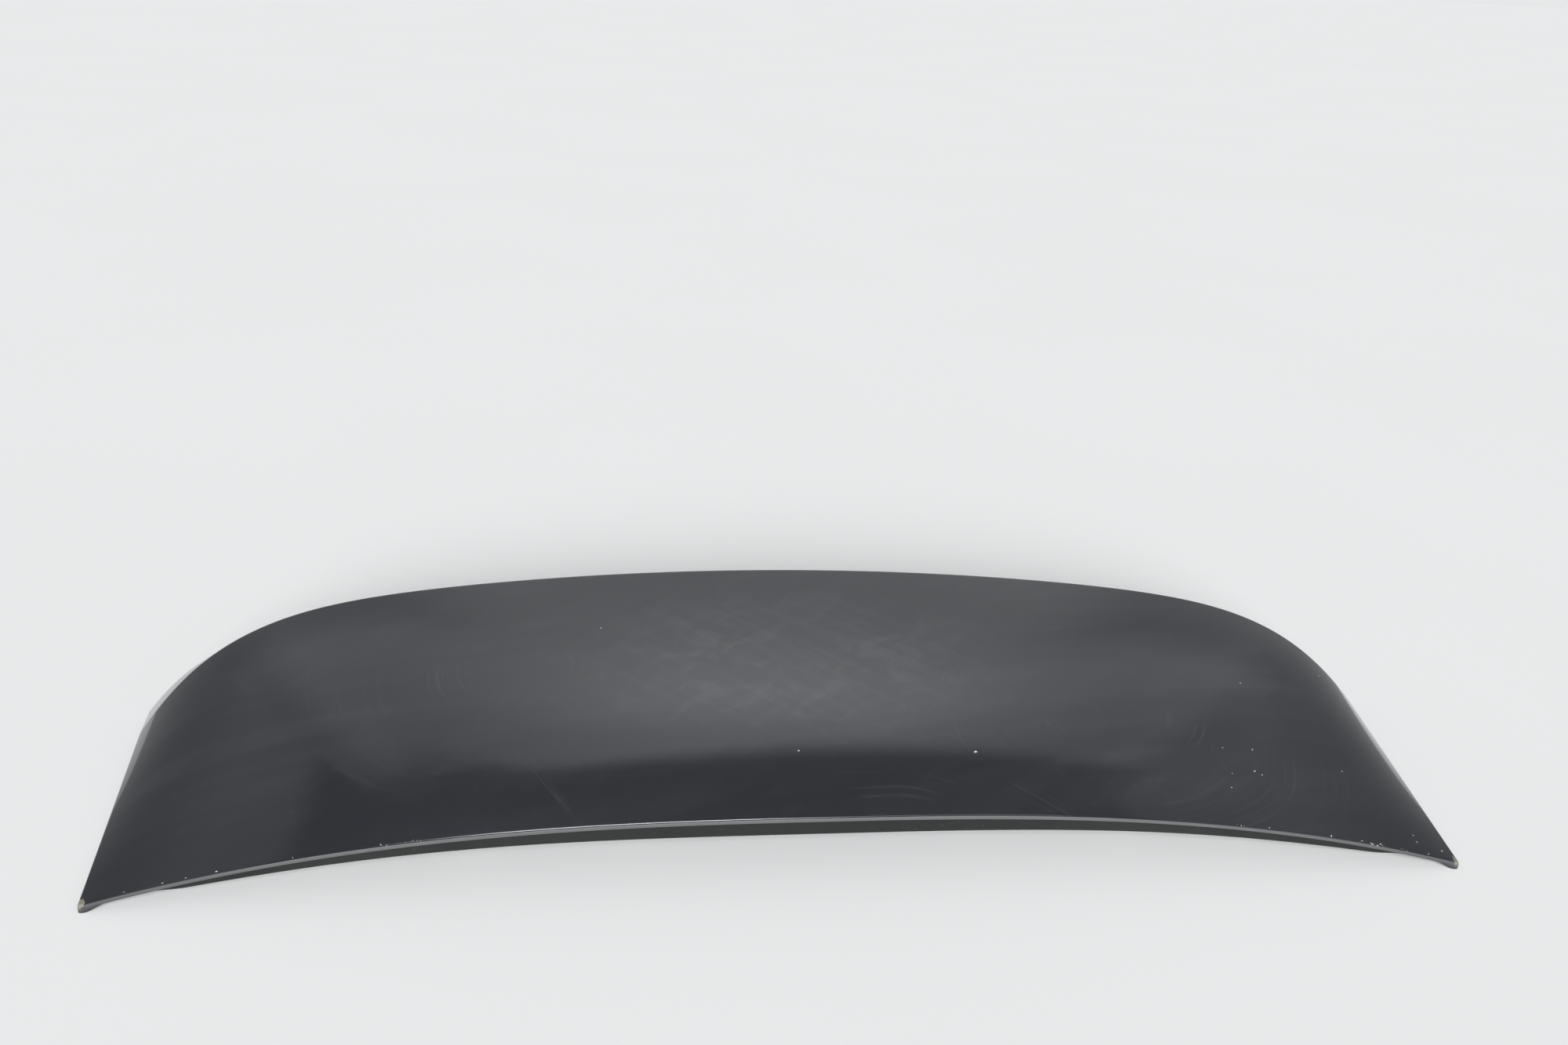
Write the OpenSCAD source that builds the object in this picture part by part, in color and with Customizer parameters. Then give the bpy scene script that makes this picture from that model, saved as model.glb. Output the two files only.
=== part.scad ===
// Tailgate spoiler: a lofted gloss outer skin bonded to a moulded inner shell that carries its fixings.
// It rests on its two front tips and its two rear feet. +X is along the span, +Y from the roof edge to the tail.

/* [Plan] */
// Distance between the two front tips
tip_span = 1150; // [1050:10:1250]
// Distance between the ends of the tail crease
tail_span = 1203; // [1150:1:1260]
// Depth from the line between the tips to the middle of the tail crease
depth = 352; // [300:2:380]
// How far the middle of the front edge lies behind its tips
front_setback = 18; // [8:1:28]
// How far the ends of the tail crease lie ahead of its middle
tail_sweep = 129; // [100:1:150]
// Share of the tail's sweep that is one even curve, the rest being in its corners
sweep_share = 0.53; // [0.3:0.01:0.8]
// Power that sets how tight the tail's corners are in plan
corner_power = 9; // [6:0.5:12]

/* [Height] */
// Height of the middle of the front edge
front_crown = 58.5; // [50:0.5:66]
// Height of the middle of the tail crease
tail_height = 116.7; // [100:0.1:130]
// Height of the skin's edge at a front tip
tip_lift = 6.7; // [5.5:0.1:9]
// Height of the tail crease's ends
crease_foot = 11.9; // [9:0.1:15]
// How far the profile from front to tail bows above a straight line
profile_bow = 0.45; // [0:0.05:0.6]
// Power of the front edge's crown
front_roll = 2.73; // [2.2:0.01:3.6]
// Power that sets how tight the shoulders are at the tail
shoulder_roll = 10.1; // [7:0.1:12]
// Share of the tail's fall to its ends that is one even crown
tail_crown = 0.25; // [0.1:0.01:0.35]

/* [Skin] */
// Wall of the outer skin
skin_wall = 3; // [2:0.1:4]
// Thickness of the rounded front lip
lip = 5; // [4:0.1:6.5]
// How far back the front lip keeps its thickness
lip_run = 14; // [10:1:20]
// Distance over which the lip then thins to the skin's wall
lip_fade = 3; // [2:0.5:6]
// Height of the flange that is turned down behind the tail crease
tail_flange = 8; // [6:0.5:12]
// How far that flange leans back
tail_lean = 4; // [2:0.5:8]
// How far each rear foot reaches behind the crease's end
foot_run = 52; // [35:1:60]
// How far each rear foot flares out
foot_flare = 9; // [4:1:14]
// Thickness of the side edge at the rear foot's corner
foot_edge = 3; // [2:0.1:4]
// Share of the half width beyond which the side hem stands on its flat edge
hem_from = 0.995; // [0.993:0.001:0.996]

/* [Inner shell] */
// Wall of the inner shell
shell_wall = 2.5; // [1.8:0.1:3.2]
// Bond line between the skin and the inner shell
bond = 0.3; // [0.1:0.05:0.5]
// How far the front wall stands behind the front edge
wall_inset = 3; // [2.5:0.5:6]
// Height of the front wall in the middle, below the lip
wall_drop = 22.5; // [18:0.5:25]
// Width of the seat that runs behind the front wall
seat_run = 48; // [46:1:54]
// Distance over which the seat rises to the pan
pan_step = 24; // [18:1:30]
// Depth of the pan's outer face below the skin's outer face
pan_depth = 13; // [10:0.5:16]
// Share of the skin's half width that the inner shell covers
shell_reach = 0.93; // [0.88:0.01:0.95]
// Height of the stiffening ribs under the pan
rib_height = 9; // [5:0.5:12]
// Thickness of the stiffening ribs
rib_wall = 2.2; // [1.6:0.1:3]
// Distance between neighbouring ribs
rib_pitch = 130; // [110:5:150]

/* [Fixings] */
// Distance between the two inner studs
inner_pitch = 300; // [260:5:340]
// Distance between the two outer studs
outer_pitch = 800; // [740:5:840]
// Distance of the studs behind the front wall
stud_back = 32; // [28:0.5:33]
// Thread diameter of the studs
stud_d = 6; // [5:1:8]
// Free length of the studs below their collars
stud_free = 18; // [12:1:20]
// Length of the stud's end that is screwed into its boss
stud_grip = 7; // [5:0.5:8]
// Diameter of that end
grip_d = 5; // [4:0.5:5.5]
// Width across the flats of the stud's hexagonal collar
collar_flats = 10; // [9:0.5:13]
// Thickness of the collar
collar_t = 3; // [2:0.5:4]
// Diameter of the moulded boss round each stud
boss_d = 26; // [22:1:30]
// How far each boss stands below the seat at its middle
boss_drop = 6; // [5.8:0.1:7]
// How far each boss reaches above the shell's wall
boss_rise = 2.5; // [1.5:0.5:3]
// Outer diameter of the foam washers
washer_d = 25; // [20:1:28]
// Thickness of the foam washers
washer_t = 5; // [3:0.5:6]
// Radial clearance round the collar inside the foam washer
washer_gap = 0.5; // [0.3:0.1:1]
// Distance between the two locating pegs
peg_pitch = 560; // [520:5:600]
// Diameter of the locating pegs
peg_d = 8; // [6:0.5:10]
// Free length of the locating pegs below their flanges
peg_free = 14; // [10:1:16]
// Diameter of the flange of each locating peg
peg_flange_d = 16; // [14:1:20]
// Thickness of that flange
peg_flange_t = 2; // [1.5:0.5:3]
// Running clearance round what is screwed or pressed into a boss
socket_gap = 0.05; // [0.02:0.01:0.1]

/* [Tape and seal] */
// Distance of the foam seal behind the front wall
seal_back = 6; // [4:0.5:8]
// Width of the foam seal on the seat
seal_w = 5; // [3:0.5:5.5]
// Thickness of that seal
seal_t = 3; // [2:0.5:3.5]
// Half the span that the seal covers, as a share of the half width
seal_reach = 0.8; // [0.6:0.01:0.86]
// Width of the adhesive foam tape inside each ear
tape_w = 12; // [8:1:16]
// Thickness of that tape
tape_t = 1.2; // [0.8:0.1:2]

/* [Hidden] */

skin_color = [0.05, 0.05, 0.06];
shell_color = [0.11, 0.12, 0.12];
foam_color = [0.2, 0.2, 0.21];
steel_color = [0.7, 0.71, 0.68];
peg_color = [0.85, 0.85, 0.82];

// Power of the front edge's curve in plan, and of the front wall's taper towards the tips
setback_power = 2.5;
taper_power = 4;
// Stations across the span and rows from tail to front
stations = 64;
rows = 11;
// Where the feet begin, as a share of the half width, and the power of their reach
foot_from = 0.84;
foot_power = 1.3;
// Step over which slopes are taken
probe = 0.001;

mean_run = depth - front_setback;
y_shift = (depth + tail_lean - lip / 2) / 2;

function lerp(a, b, k) = a + (b - a) * k;
function smooth(k) = let (c = min(max(k, 0), 1)) c * c * (3 - 2 * c);
function unit(v) = v / norm(v);

// The skin: u runs from -1 at the left edge to 1 at the right, t from 0 at the front edge to 1 at the tail crease
function half_width(t) = lerp(tip_span, tail_span, t) / 2;
function ridge_z(t) = lerp(front_crown, tail_height, t * (1 + profile_bow) - profile_bow * t * t);
function edge_z(t) = lerp(tip_lift, crease_foot, t);
function roll(t) = lerp(front_roll, shoulder_roll, t);
function fall(a, t) = let (c = tail_crown * t) c * a * a + (1 - c) * pow(a, roll(t));
function skin_z(u, t) = edge_z(t) + (ridge_z(t) - edge_z(t)) * (1 - fall(abs(u), t));
function front_y(u) = front_setback * (1 - pow(abs(u), setback_power));
function sweep(a) = sweep_share * a * a + (1 - sweep_share) * pow(a, corner_power);
function tail_y(u) = depth - tail_sweep * sweep(abs(u));
function skin(u, t) = [half_width(t) * u, lerp(front_y(u), tail_y(u), t) - y_shift, skin_z(u, t)];

// Directions on the skin: along the span, back towards the tail, and out of the surface
function side_step(u) = u > 0 ? -probe : probe;
function span_dir(u, t) = let (s = side_step(u)) unit((skin(u + s, t) - skin(u, t)) / s);
function back_dir(u, t) = let (s = t > 0.5 ? -probe : probe) unit((skin(u, t + s) - skin(u, t)) / s);
function out_dir(u, t) = unit(cross(span_dir(u, t), back_dir(u, t)));
function under(u, t, d) = skin(u, t) - d * out_dir(u, t);
function row_of(length) = length / mean_run;

// Stations crowd towards the ends, where the shoulders turn
function station(i, n) = sin(180 * i / n - 90);

// The tail flange is turned down behind the crease, and opens out into a foot at each end
function foot(u) = pow(max(abs(u) - foot_from, 0) / (1 - foot_from), foot_power);
function flange_end(u) =
    let (k = foot(u), p = skin(u, 1))
    [p.x + sign(u) * foot_flare * k, p.y + lerp(tail_lean, foot_run, k),
     p.z - lerp(tail_flange, crease_foot - foot_edge, k)];

// One closed section of the skin: an outer list from the flange to the lip, the lip's nose, and an inner list
row_list = concat([for (k = [0:rows]) lerp(1, row_of(lip_run + lip_fade), k / rows)], [row_of(lip_run), 0]);
function nose(u, angle) =
    skin(u, 0) + lip / 2 * ((cos(angle) - 1) * out_dir(u, 0) - sin(angle) * back_dir(u, 0));
function outer_list(u) = concat([flange_end(u)], [for (t = row_list) skin(u, t)], [nose(u, 50)]);
function inner_depth(t) = t <= row_of(lip_run) ? lip : skin_wall;
function inner_flange(u) =
    flange_end(u) - skin_wall * unit(lerp(back_dir(u, 1), out_dir(u, 1), foot(u)));
function inner_crease(u) = under(u, 1, skin_wall) - skin_wall * (1 - foot(u)) * back_dir(u, 1);
function inner_row(u, t) = t == 1 ? inner_crease(u) : under(u, t, inner_depth(t));
function inner_list(u) = concat([inner_flange(u)], [for (t = row_list) inner_row(u, t)], [nose(u, 130)]);
function on_floor(list) = [for (p = list) [p.x, p.y, 0]];

// Joins stations of an outer and an inner list into one closed skin; a nose point closes the front where there is one
module sheet(outer, inner, tips = []) {
    n = len(outer);
    k = len(outer[0]);
    has_tip = len(tips) == n;
    m = 2 * k + (has_tip ? 1 : 0);
    points = [for (i = [0:n - 1])
        each concat(outer[i], has_tip ? [tips[i]] : [], [for (j = [k - 1:-1:0]) inner[i][j]])];
    walls = [for (i = [0:n - 2], j = [0:m - 1])
        let (a = i * m + j, b = i * m + (j + 1) % m, c = b + m, d = a + m)
        each [[a, c, b], [a, d, c]]];
    start_cap = [for (j = [0:k - 2])
        let (a = j, b = j + 1, c = m - 2 - j, d = m - 1 - j)
        each [[a, b, c], [a, c, d]]];
    start_tip = has_tip ? [[k - 1, k, k + 1]] : [];
    far = (n - 1) * m;
    far_cap = [for (f = concat(start_cap, start_tip)) [f[0] + far, f[2] + far, f[1] + far]];
    polyhedron(points, concat(walls, start_cap, start_tip, far_cap), convexity = 6);
}

module outer_skin() {
    list = [for (i = [0:stations]) station(i, stations)];
    color(skin_color)
        sheet([for (u = list) outer_list(u)],
              [for (u = list) abs(u) > hem_from ? on_floor(outer_list(u)) : inner_list(u)],
              [for (u = list) nose(u, 90)]);
}

// Inner shell: front wall, seat, pan and a bonding edge all round, as depths below the skin
wall_row = row_of(wall_inset);
seat_row = row_of(wall_inset + seat_run);
pan_row = row_of(wall_inset + seat_run + pan_step);
last_row = 0.965;
bond_depth = skin_wall + bond;
function wall_height(u) = wall_drop * (1 - pow(abs(u), taper_power));
seat_least = lip + bond + shell_wall + 0.8;
function seat_depth(u) = max(lip + wall_height(u), seat_least);
function edge_fade(u) = smooth((shell_reach - abs(u)) / 0.06);
function pan(u) = lerp(bond_depth + shell_wall, pan_depth, edge_fade(u));
function seat(u) = lerp(seat_least, seat_depth(u), edge_fade(u));
shell_rows = 6;
function shell_lower(u) = concat(
    [under(u, wall_row, lip + bond), under(u, wall_row, seat(u)), under(u, seat_row, seat(u))],
    [for (k = [0:shell_rows]) under(u, lerp(pan_row, 0.9, k / shell_rows), pan(u))],
    [under(u, 0.93, bond_depth + shell_wall), under(u, last_row, bond_depth + shell_wall)]);
function shell_upper(u) =
    let (inset = row_of(shell_wall))
    concat(
        [under(u, wall_row + inset, lip + bond), under(u, wall_row + inset, seat(u) - shell_wall),
         under(u, seat_row, seat(u) - shell_wall)],
        [for (k = [0:shell_rows]) under(u, lerp(pan_row, 0.9, k / shell_rows), pan(u) - shell_wall)],
        [under(u, 0.93, bond_depth), under(u, last_row, bond_depth)]);

module shell_sheet() {
    list = [for (i = [0:44]) shell_reach * station(i, 44)];
    sheet([for (u = list) shell_lower(u)], [for (u = list) shell_upper(u)]);
}

// A rib hangs below the pan from front to back, tapering out at both ends
rib_count = 2 * floor(shell_reach * 0.88 * tip_span / 2 / rib_pitch) + 1;
function rib_x(i) = (i - (rib_count - 1) / 2) * rib_pitch;
function rib_edge(x, k, d) =
    let (t = lerp(pan_row + 0.02, 0.88, k), u = x / half_width(t))
    skin(u, t) - d * out_dir(u, t);
function rib_side(x) = [for (k = [0:0.1:1.01]) rib_edge(x, k, pan_depth - shell_wall / 2)];
function rib_foot(x) = [for (k = [0:0.1:1.01]) rib_edge(x, k, pan_depth + rib_height * sin(180 * k) * 0.9 + 0.4)];

module rib(x) {
    sheet([rib_foot(x - rib_wall / 2), rib_foot(x + rib_wall / 2)],
          [rib_side(x - rib_wall / 2), rib_side(x + rib_wall / 2)]);
}

// Fixings stand on flat boss faces under the seat
seat_mid = row_of(wall_inset + stud_back);
function seat_u(x) = x / half_width(seat_mid);
function seat_point(x) = under(seat_u(x), seat_mid, seat(seat_u(x)));
function boss_face(x) = let (p = seat_point(x)) [x, p.y, p.z - boss_drop];
stud_x = [-outer_pitch / 2, -inner_pitch / 2, inner_pitch / 2, outer_pitch / 2];
peg_x = [-peg_pitch / 2, peg_pitch / 2];
boss_top = boss_drop + shell_wall + boss_rise;
socket_end = 0.5;

module boss(x) {
    translate(boss_face(x)) cylinder(h = boss_top, d = boss_d, $fn = 48);
}

module socket(x, d) {
    translate(boss_face(x) - [0, 0, 1]) cylinder(h = stud_grip + 1, d = d + 2 * socket_gap, $fn = 48);
}

module inner_shell() {
    color(shell_color)
        difference() {
            union() {
                shell_sheet();
                for (i = [0:rib_count - 1]) rib(rib_x(i));
                for (x = stud_x) boss(x);
                for (x = peg_x) boss(x);
            }
            for (x = stud_x) socket(x, grip_d);
            for (x = peg_x) socket(x, peg_d);
        }
}

module stud(x) {
    color(steel_color)
        translate(boss_face(x)) {
            translate([0, 0, -collar_t - stud_free]) cylinder(h = stud_free, d = stud_d, $fn = 48);
            translate([0, 0, -collar_t]) cylinder(h = collar_t, d = collar_flats / cos(30), $fn = 6);
            cylinder(h = stud_grip - socket_end, d = grip_d, $fn = 48);
        }
}

module foam_washer(x) {
    color(foam_color)
        translate(boss_face(x) - [0, 0, washer_t])
            difference() {
                cylinder(h = washer_t, d = washer_d, $fn = 48);
                translate([0, 0, -1])
                    cylinder(h = washer_t + 2, d = collar_flats / cos(30) + 2 * washer_gap, $fn = 48);
            }
}

module locating_peg(x) {
    r = peg_d / 2;
    top = stud_grip - socket_end;
    color(peg_color)
        translate(boss_face(x))
            rotate_extrude($fn = 48)
                polygon([[0, -peg_free], [r / 2, -peg_free], [r, r - peg_free], [r, -peg_flange_t],
                         [peg_flange_d / 2, -peg_flange_t], [peg_flange_d / 2, 0], [r, 0], [r, top], [0, top]]);
}

// The seal is stuck to the seat, between the front wall and the bosses
glue = 0.35;

module front_seal() {
    list = [for (i = [0:32]) seal_reach * station(i, 32)];
    row0 = wall_row + row_of(seal_back);
    row1 = row0 + row_of(seal_w);
    color(foam_color)
        sheet([for (u = list) [under(u, row0, seat(u) + glue + seal_t), under(u, row1, seat(u) + glue + seal_t)]],
              [for (u = list) [under(u, row0, seat(u) + glue), under(u, row1, seat(u) + glue)]]);
}

// Tape is stuck inside each ear, beside the inner shell's edge
tape_rows = [for (k = [0:8]) lerp(0.2, 0.8, k / 8)];
tape_edge = 0.985;
function tape_line(t, d) = [for (e = [0, 1]) under(tape_edge - e * tape_w / half_width(t), t, d)];

module ear_tape() {
    top = skin_wall + glue;
    color(foam_color)
        sheet([for (t = tape_rows) tape_line(t, top + tape_t)], [for (t = tape_rows) tape_line(t, top)]);
}

outer_skin();
inner_shell();
front_seal();
mirror([1, 0, 0]) ear_tape();  // ear_tape_left
ear_tape();  // ear_tape_right
stud(stud_x[0]);  // stud_outer_left
stud(stud_x[1]);  // stud_inner_left
stud(stud_x[2]);  // stud_inner_right
stud(stud_x[3]);  // stud_outer_right
foam_washer(stud_x[0]);  // foam_washer_outer_left
foam_washer(stud_x[1]);  // foam_washer_inner_left
foam_washer(stud_x[2]);  // foam_washer_inner_right
foam_washer(stud_x[3]);  // foam_washer_outer_right
locating_peg(peg_x[0]);  // locating_peg_left
locating_peg(peg_x[1]);  // locating_peg_right
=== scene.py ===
"""Looks of a gloss-black tailgate spoiler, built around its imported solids."""

from __future__ import annotations

import logging
import math
from collections.abc import Callable, Sequence
from dataclasses import dataclass, field
from enum import Enum
from functools import reduce

import bmesh
import bpy
import numpy as np
from mathutils import Matrix, Vector, noise

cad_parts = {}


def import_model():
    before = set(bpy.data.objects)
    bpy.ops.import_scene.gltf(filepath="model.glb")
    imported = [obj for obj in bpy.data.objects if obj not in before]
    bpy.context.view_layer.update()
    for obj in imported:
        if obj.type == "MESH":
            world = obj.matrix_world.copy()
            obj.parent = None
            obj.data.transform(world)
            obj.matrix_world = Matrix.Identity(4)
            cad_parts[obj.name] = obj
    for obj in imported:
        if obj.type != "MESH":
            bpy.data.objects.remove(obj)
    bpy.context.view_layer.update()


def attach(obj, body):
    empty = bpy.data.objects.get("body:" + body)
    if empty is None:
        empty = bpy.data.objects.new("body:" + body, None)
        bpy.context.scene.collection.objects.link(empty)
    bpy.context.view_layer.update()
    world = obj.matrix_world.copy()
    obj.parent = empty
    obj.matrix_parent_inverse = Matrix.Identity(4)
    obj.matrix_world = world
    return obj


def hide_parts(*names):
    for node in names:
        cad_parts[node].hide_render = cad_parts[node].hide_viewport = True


LOG = logging.getLogger("spoiler")
MM = 0.001
BODY = "root"
AXIS = 0.01  # the radius in millimetres at which a turned profile counts as closed

Array = np.ndarray
Faces = list[list[int]]
Rows = list[tuple[float, Array]]
Socket = bpy.types.NodeSocket
Number = Socket | float
Colour = Socket | Sequence[float]
Sockets = bpy.types.bpy_prop_collection


class Slot(Enum):
    """The record's material slots."""

    SKIN = "skin"
    SHELL = "shell"
    FOAM = "foam"
    TAPE = "tape"
    STEEL = "steel"
    PEG = "peg"


class Side(Enum):
    """The two sides of the middle plane, as signs along X."""

    LEFT = -1
    RIGHT = 1


def lerp(a: float | Array, b: float | Array, k: float | Array) -> float | Array:
    """Goes from a to b as k goes from 0 to 1."""
    return a + (b - a) * k


def smooth(k: float | Array) -> float | Array:
    """Eases k from 0 to 1 and holds it there outside."""
    held = np.clip(k, 0.0, 1.0)
    return held * held * (3 - 2 * held)


def unit(vectors: Array) -> Array:
    """Scales vectors to length 1."""
    return vectors / np.linalg.norm(vectors, axis=-1, keepdims=True)


def crowded(count: int, reach: float = 1.0) -> Array:
    """Stations from -reach to reach that crowd towards both ends.

    Args:
        count: How many stations there are.
        reach: Where the last one stands.

    Returns:
        The stations, in order.
    """
    return reach * np.sin(np.linspace(-math.pi / 2, math.pi / 2, count))


@dataclass(frozen=True)
class SkinForm:
    """The skin's surface in millimetres: u runs along the span, t from the front edge to the tail crease."""

    tip_span: float = 1150.0
    tail_span: float = 1203.0
    depth: float = 352.0
    front_setback: float = 18.0
    setback_power: float = 2.5
    tail_sweep: float = 129.0
    sweep_share: float = 0.53
    corner_power: float = 9.0
    front_crown: float = 58.5
    tail_height: float = 116.7
    tip_lift: float = 6.7
    crease_foot: float = 11.9
    profile_bow: float = 0.45
    front_roll: float = 2.73
    shoulder_roll: float = 10.1
    tail_crown: float = 0.25
    wall: float = 3.0
    lip: float = 5.0
    lip_run: float = 14.0
    lip_fade: float = 3.0
    tail_flange: float = 8.0
    tail_lean: float = 4.0
    foot_run: float = 52.0
    foot_flare: float = 9.0
    foot_edge: float = 3.0
    foot_from: float = 0.84
    foot_power: float = 1.3
    hem_from: float = 0.995
    probe: float = 1e-4

    @property
    def mean_run(self) -> float:
        """Distance from the front edge to the crease in the middle."""
        return self.depth - self.front_setback

    @property
    def y_shift(self) -> float:
        """How far the row's origin lies behind the line between the tips."""
        return (self.depth + self.tail_lean - self.lip / 2) / 2

    def row(self, length: float) -> float:
        """Turns a distance behind the front edge into a value of t."""
        return length / self.mean_run

    def half_width(self, t: float | Array) -> float | Array:
        """Half the span at t."""
        return lerp(self.tip_span, self.tail_span, t) / 2

    def point(self, u: float | Array, t: float | Array) -> Array:
        """Points on the skin's outer face.

        Args:
            u: Places along the span, from -1 to 1.
            t: Places from front to tail, from 0 to 1.

        Returns:
            The points, with one axis more than u and t have.
        """
        u, t = np.broadcast_arrays(np.asarray(u, float), np.asarray(t, float))
        a = np.abs(u)
        front = self.front_setback * (1 - a**self.setback_power)
        sweep = self.sweep_share * a * a + (1 - self.sweep_share) * a**self.corner_power
        tail = self.depth - self.tail_sweep * sweep
        rise = t * (1 + self.profile_bow) - self.profile_bow * t * t
        ridge = lerp(self.front_crown, self.tail_height, rise)
        base = lerp(self.tip_lift, self.crease_foot, t)
        crown = self.tail_crown * t
        fall = crown * a * a + (1 - crown) * a ** lerp(self.front_roll, self.shoulder_roll, t)
        height = base + (ridge - base) * (1 - fall)
        return np.stack([self.half_width(t) * u, lerp(front, tail, t) - self.y_shift, height], -1)

    def back(self, u: float | Array, t: float | Array) -> Array:
        """Directions on the skin towards the tail."""
        return unit(self.point(u, np.asarray(t) + self.probe) - self.point(u, np.asarray(t) - self.probe))

    def out(self, u: float | Array, t: float | Array) -> Array:
        """Directions out of the skin."""
        along = self.point(np.asarray(u) + self.probe, t) - self.point(np.asarray(u) - self.probe, t)
        return unit(np.cross(along, self.back(u, t)))

    def under(self, u: float | Array, t: float | Array, depth: float | Array) -> Array:
        """Points at a depth below the outer face."""
        return self.point(u, t) - np.asarray(depth)[..., None] * self.out(u, t)

    def foot(self, u: Array) -> Array:
        """How far each station has opened out into a rear foot."""
        return (np.maximum(np.abs(u) - self.foot_from, 0) / (1 - self.foot_from)) ** self.foot_power

    def flange_end(self, u: Array) -> Array:
        """The lower edge of the flange behind the crease.

        Args:
            u: The stations.

        Returns:
            A point for each station.
        """
        k = self.foot(u)
        end = self.point(u, 1.0)
        end[..., 0] += np.sign(u) * self.foot_flare * k
        end[..., 1] += lerp(self.tail_lean, self.foot_run, k)
        end[..., 2] -= lerp(self.tail_flange, self.crease_foot - self.foot_edge, k)
        return end

    def nose(self, u: Array, angle: float) -> Array:
        """Points round the front lip, from 0 degrees on top to 180 below.

        Args:
            u: The stations.
            angle: How far round the lip, in degrees.

        Returns:
            A point for each station.
        """
        turn = math.radians(angle)
        lift = (math.cos(turn) - 1) * self.out(u, 0.0)
        return self.point(u, 0.0) + self.lip / 2 * (lift - math.sin(turn) * self.back(u, 0.0))

    def front_gap(self, places: Array) -> Array:
        """Distances of places in millimetres behind the front edge."""
        share = np.clip(np.abs(places[:, 0]) / (self.tip_span / 2), 0, 1)
        return places[:, 1] + self.y_shift - self.front_setback * (1 - share**self.setback_power)


FORM = SkinForm()


def fillet(corners: Array, radii: Sequence[float], steps: int = 4) -> Array:
    """Rounds the inner corners of many polylines at once.

    Args:
        corners: Corner points, as stations by corners by 3.
        radii: One length for each corner, 0 where it stays sharp.
        steps: Segments in each rounding.

    Returns:
        The rounded polylines, as stations by points by 3.
    """
    share = np.linspace(0, 1, steps + 1)[None, :, None]
    parts = [corners[:, :1]]
    for k in range(1, corners.shape[1] - 1):
        corner = corners[:, k]
        if radii[k] == 0:
            parts.append(corner[:, None])
            continue
        ends = []
        for other in (corners[:, k - 1], corners[:, k + 1]):
            gap = np.linalg.norm(other - corner, axis=-1, keepdims=True)
            ends.append(corner + (other - corner) / gap * np.minimum(radii[k], 0.45 * gap))
        first, last = ends
        bend = 2 * share * (1 - share) * corner[:, None]
        parts.append((1 - share) ** 2 * first[:, None] + bend + share**2 * last[:, None])
    parts.append(corners[:, -1:])
    return np.concatenate(parts, 1)


def linked(name: str, data: bpy.types.ID) -> bpy.types.Object:
    """Makes an object and puts it into the scene.

    Args:
        name: The object's name.
        data: Its mesh, camera or light.

    Returns:
        The object.
    """
    made = bpy.data.objects.new(name, data)
    bpy.context.scene.collection.objects.link(made)
    return made


def make_mesh(name: str, points: Array, faces: Faces, sharp_deg: float = 40.0) -> bpy.types.Object:
    """Makes a closed, shaded mesh object from points in millimetres.

    Args:
        name: The object's name.
        points: Points by 3, in millimetres.
        faces: Corner numbers of each face.
        sharp_deg: Edges that turn more than this are shaded sharp.

    Returns:
        The linked object.
    """
    mesh = bpy.data.meshes.new(name)
    mesh.from_pydata((points * MM).tolist(), [], faces)
    work = bmesh.new()
    work.from_mesh(mesh)
    bmesh.ops.remove_doubles(work, verts=work.verts, dist=1e-7)
    bmesh.ops.recalc_face_normals(work, faces=work.faces)
    limit = math.radians(sharp_deg)
    for edge in work.edges:
        edge.smooth = not (len(edge.link_faces) == 2 and edge.calc_face_angle(0.0) > limit)
    for face in work.faces:
        face.smooth = True
    work.to_mesh(mesh)
    work.free()
    return linked(name, mesh)


def loft_faces(stations: int, ring: int, capped: bool) -> Faces:
    """Faces that join closed rings of points.

    Args:
        stations: Number of rings.
        ring: Points in each ring.
        capped: Closes both ends with strips from each ring's first half to its second.

    Returns:
        Corner numbers of each face.
    """
    i = np.arange(stations - 1)[:, None] * ring
    j = np.arange(ring)[None, :]
    a, b = i + j, i + (j + 1) % ring
    faces = np.stack([a, b, b + ring, a + ring], -1).reshape(-1, 4).tolist()
    if capped:
        last = (stations - 1) * ring
        for k in range(ring // 2 - 1):
            cap = [k, k + 1, ring - 2 - k, ring - 1 - k]
            faces.append(cap)
            faces.append([last + c for c in reversed(cap)])
    return faces


def loft(name: str, outer: Array, inner: Array, sharp_deg: float = 40.0) -> bpy.types.Object:
    """Makes a closed sheet between two faces that have the same grid.

    Args:
        name: The object's name.
        outer: One face, as stations by points by 3.
        inner: The other face.
        sharp_deg: Edges that turn more than this are shaded sharp.

    Returns:
        The linked object.
    """
    rings = np.concatenate([outer, inner[:, ::-1]], 1)
    stations, ring, _ = rings.shape
    return make_mesh(name, rings.reshape(-1, 3), loft_faces(stations, ring, True), sharp_deg)


def turned(name: str, centre: Array, rows: Rows, sharp_deg: float = 35.0) -> bpy.types.Object:
    """Makes a closed round piece on an upright axis from rings of radii.

    Args:
        name: The object's name.
        centre: The point on its axis from which heights count, in millimetres.
        rows: A height and the radii round the axis for each ring.
        sharp_deg: Edges that turn more than this are shaded sharp.

    Returns:
        The linked object.
    """
    count = len(rows[0][1])
    turn = np.arange(count) / count * 2 * math.pi
    flat = np.stack([np.cos(turn), np.sin(turn), np.zeros(count)], -1)
    rings = [radius[:, None] * flat + (0, 0, height) for height, radius in rows]
    points = np.concatenate(rings) + centre
    return make_mesh(name, points, loft_faces(len(rows), count, False), sharp_deg)


def round_profile(profile: Sequence[tuple[float, float]], count: int = 64) -> Rows:
    """Turns a profile of radii and heights into plain round rows."""
    return [(height, np.full(count, radius)) for radius, height in profile]


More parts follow.
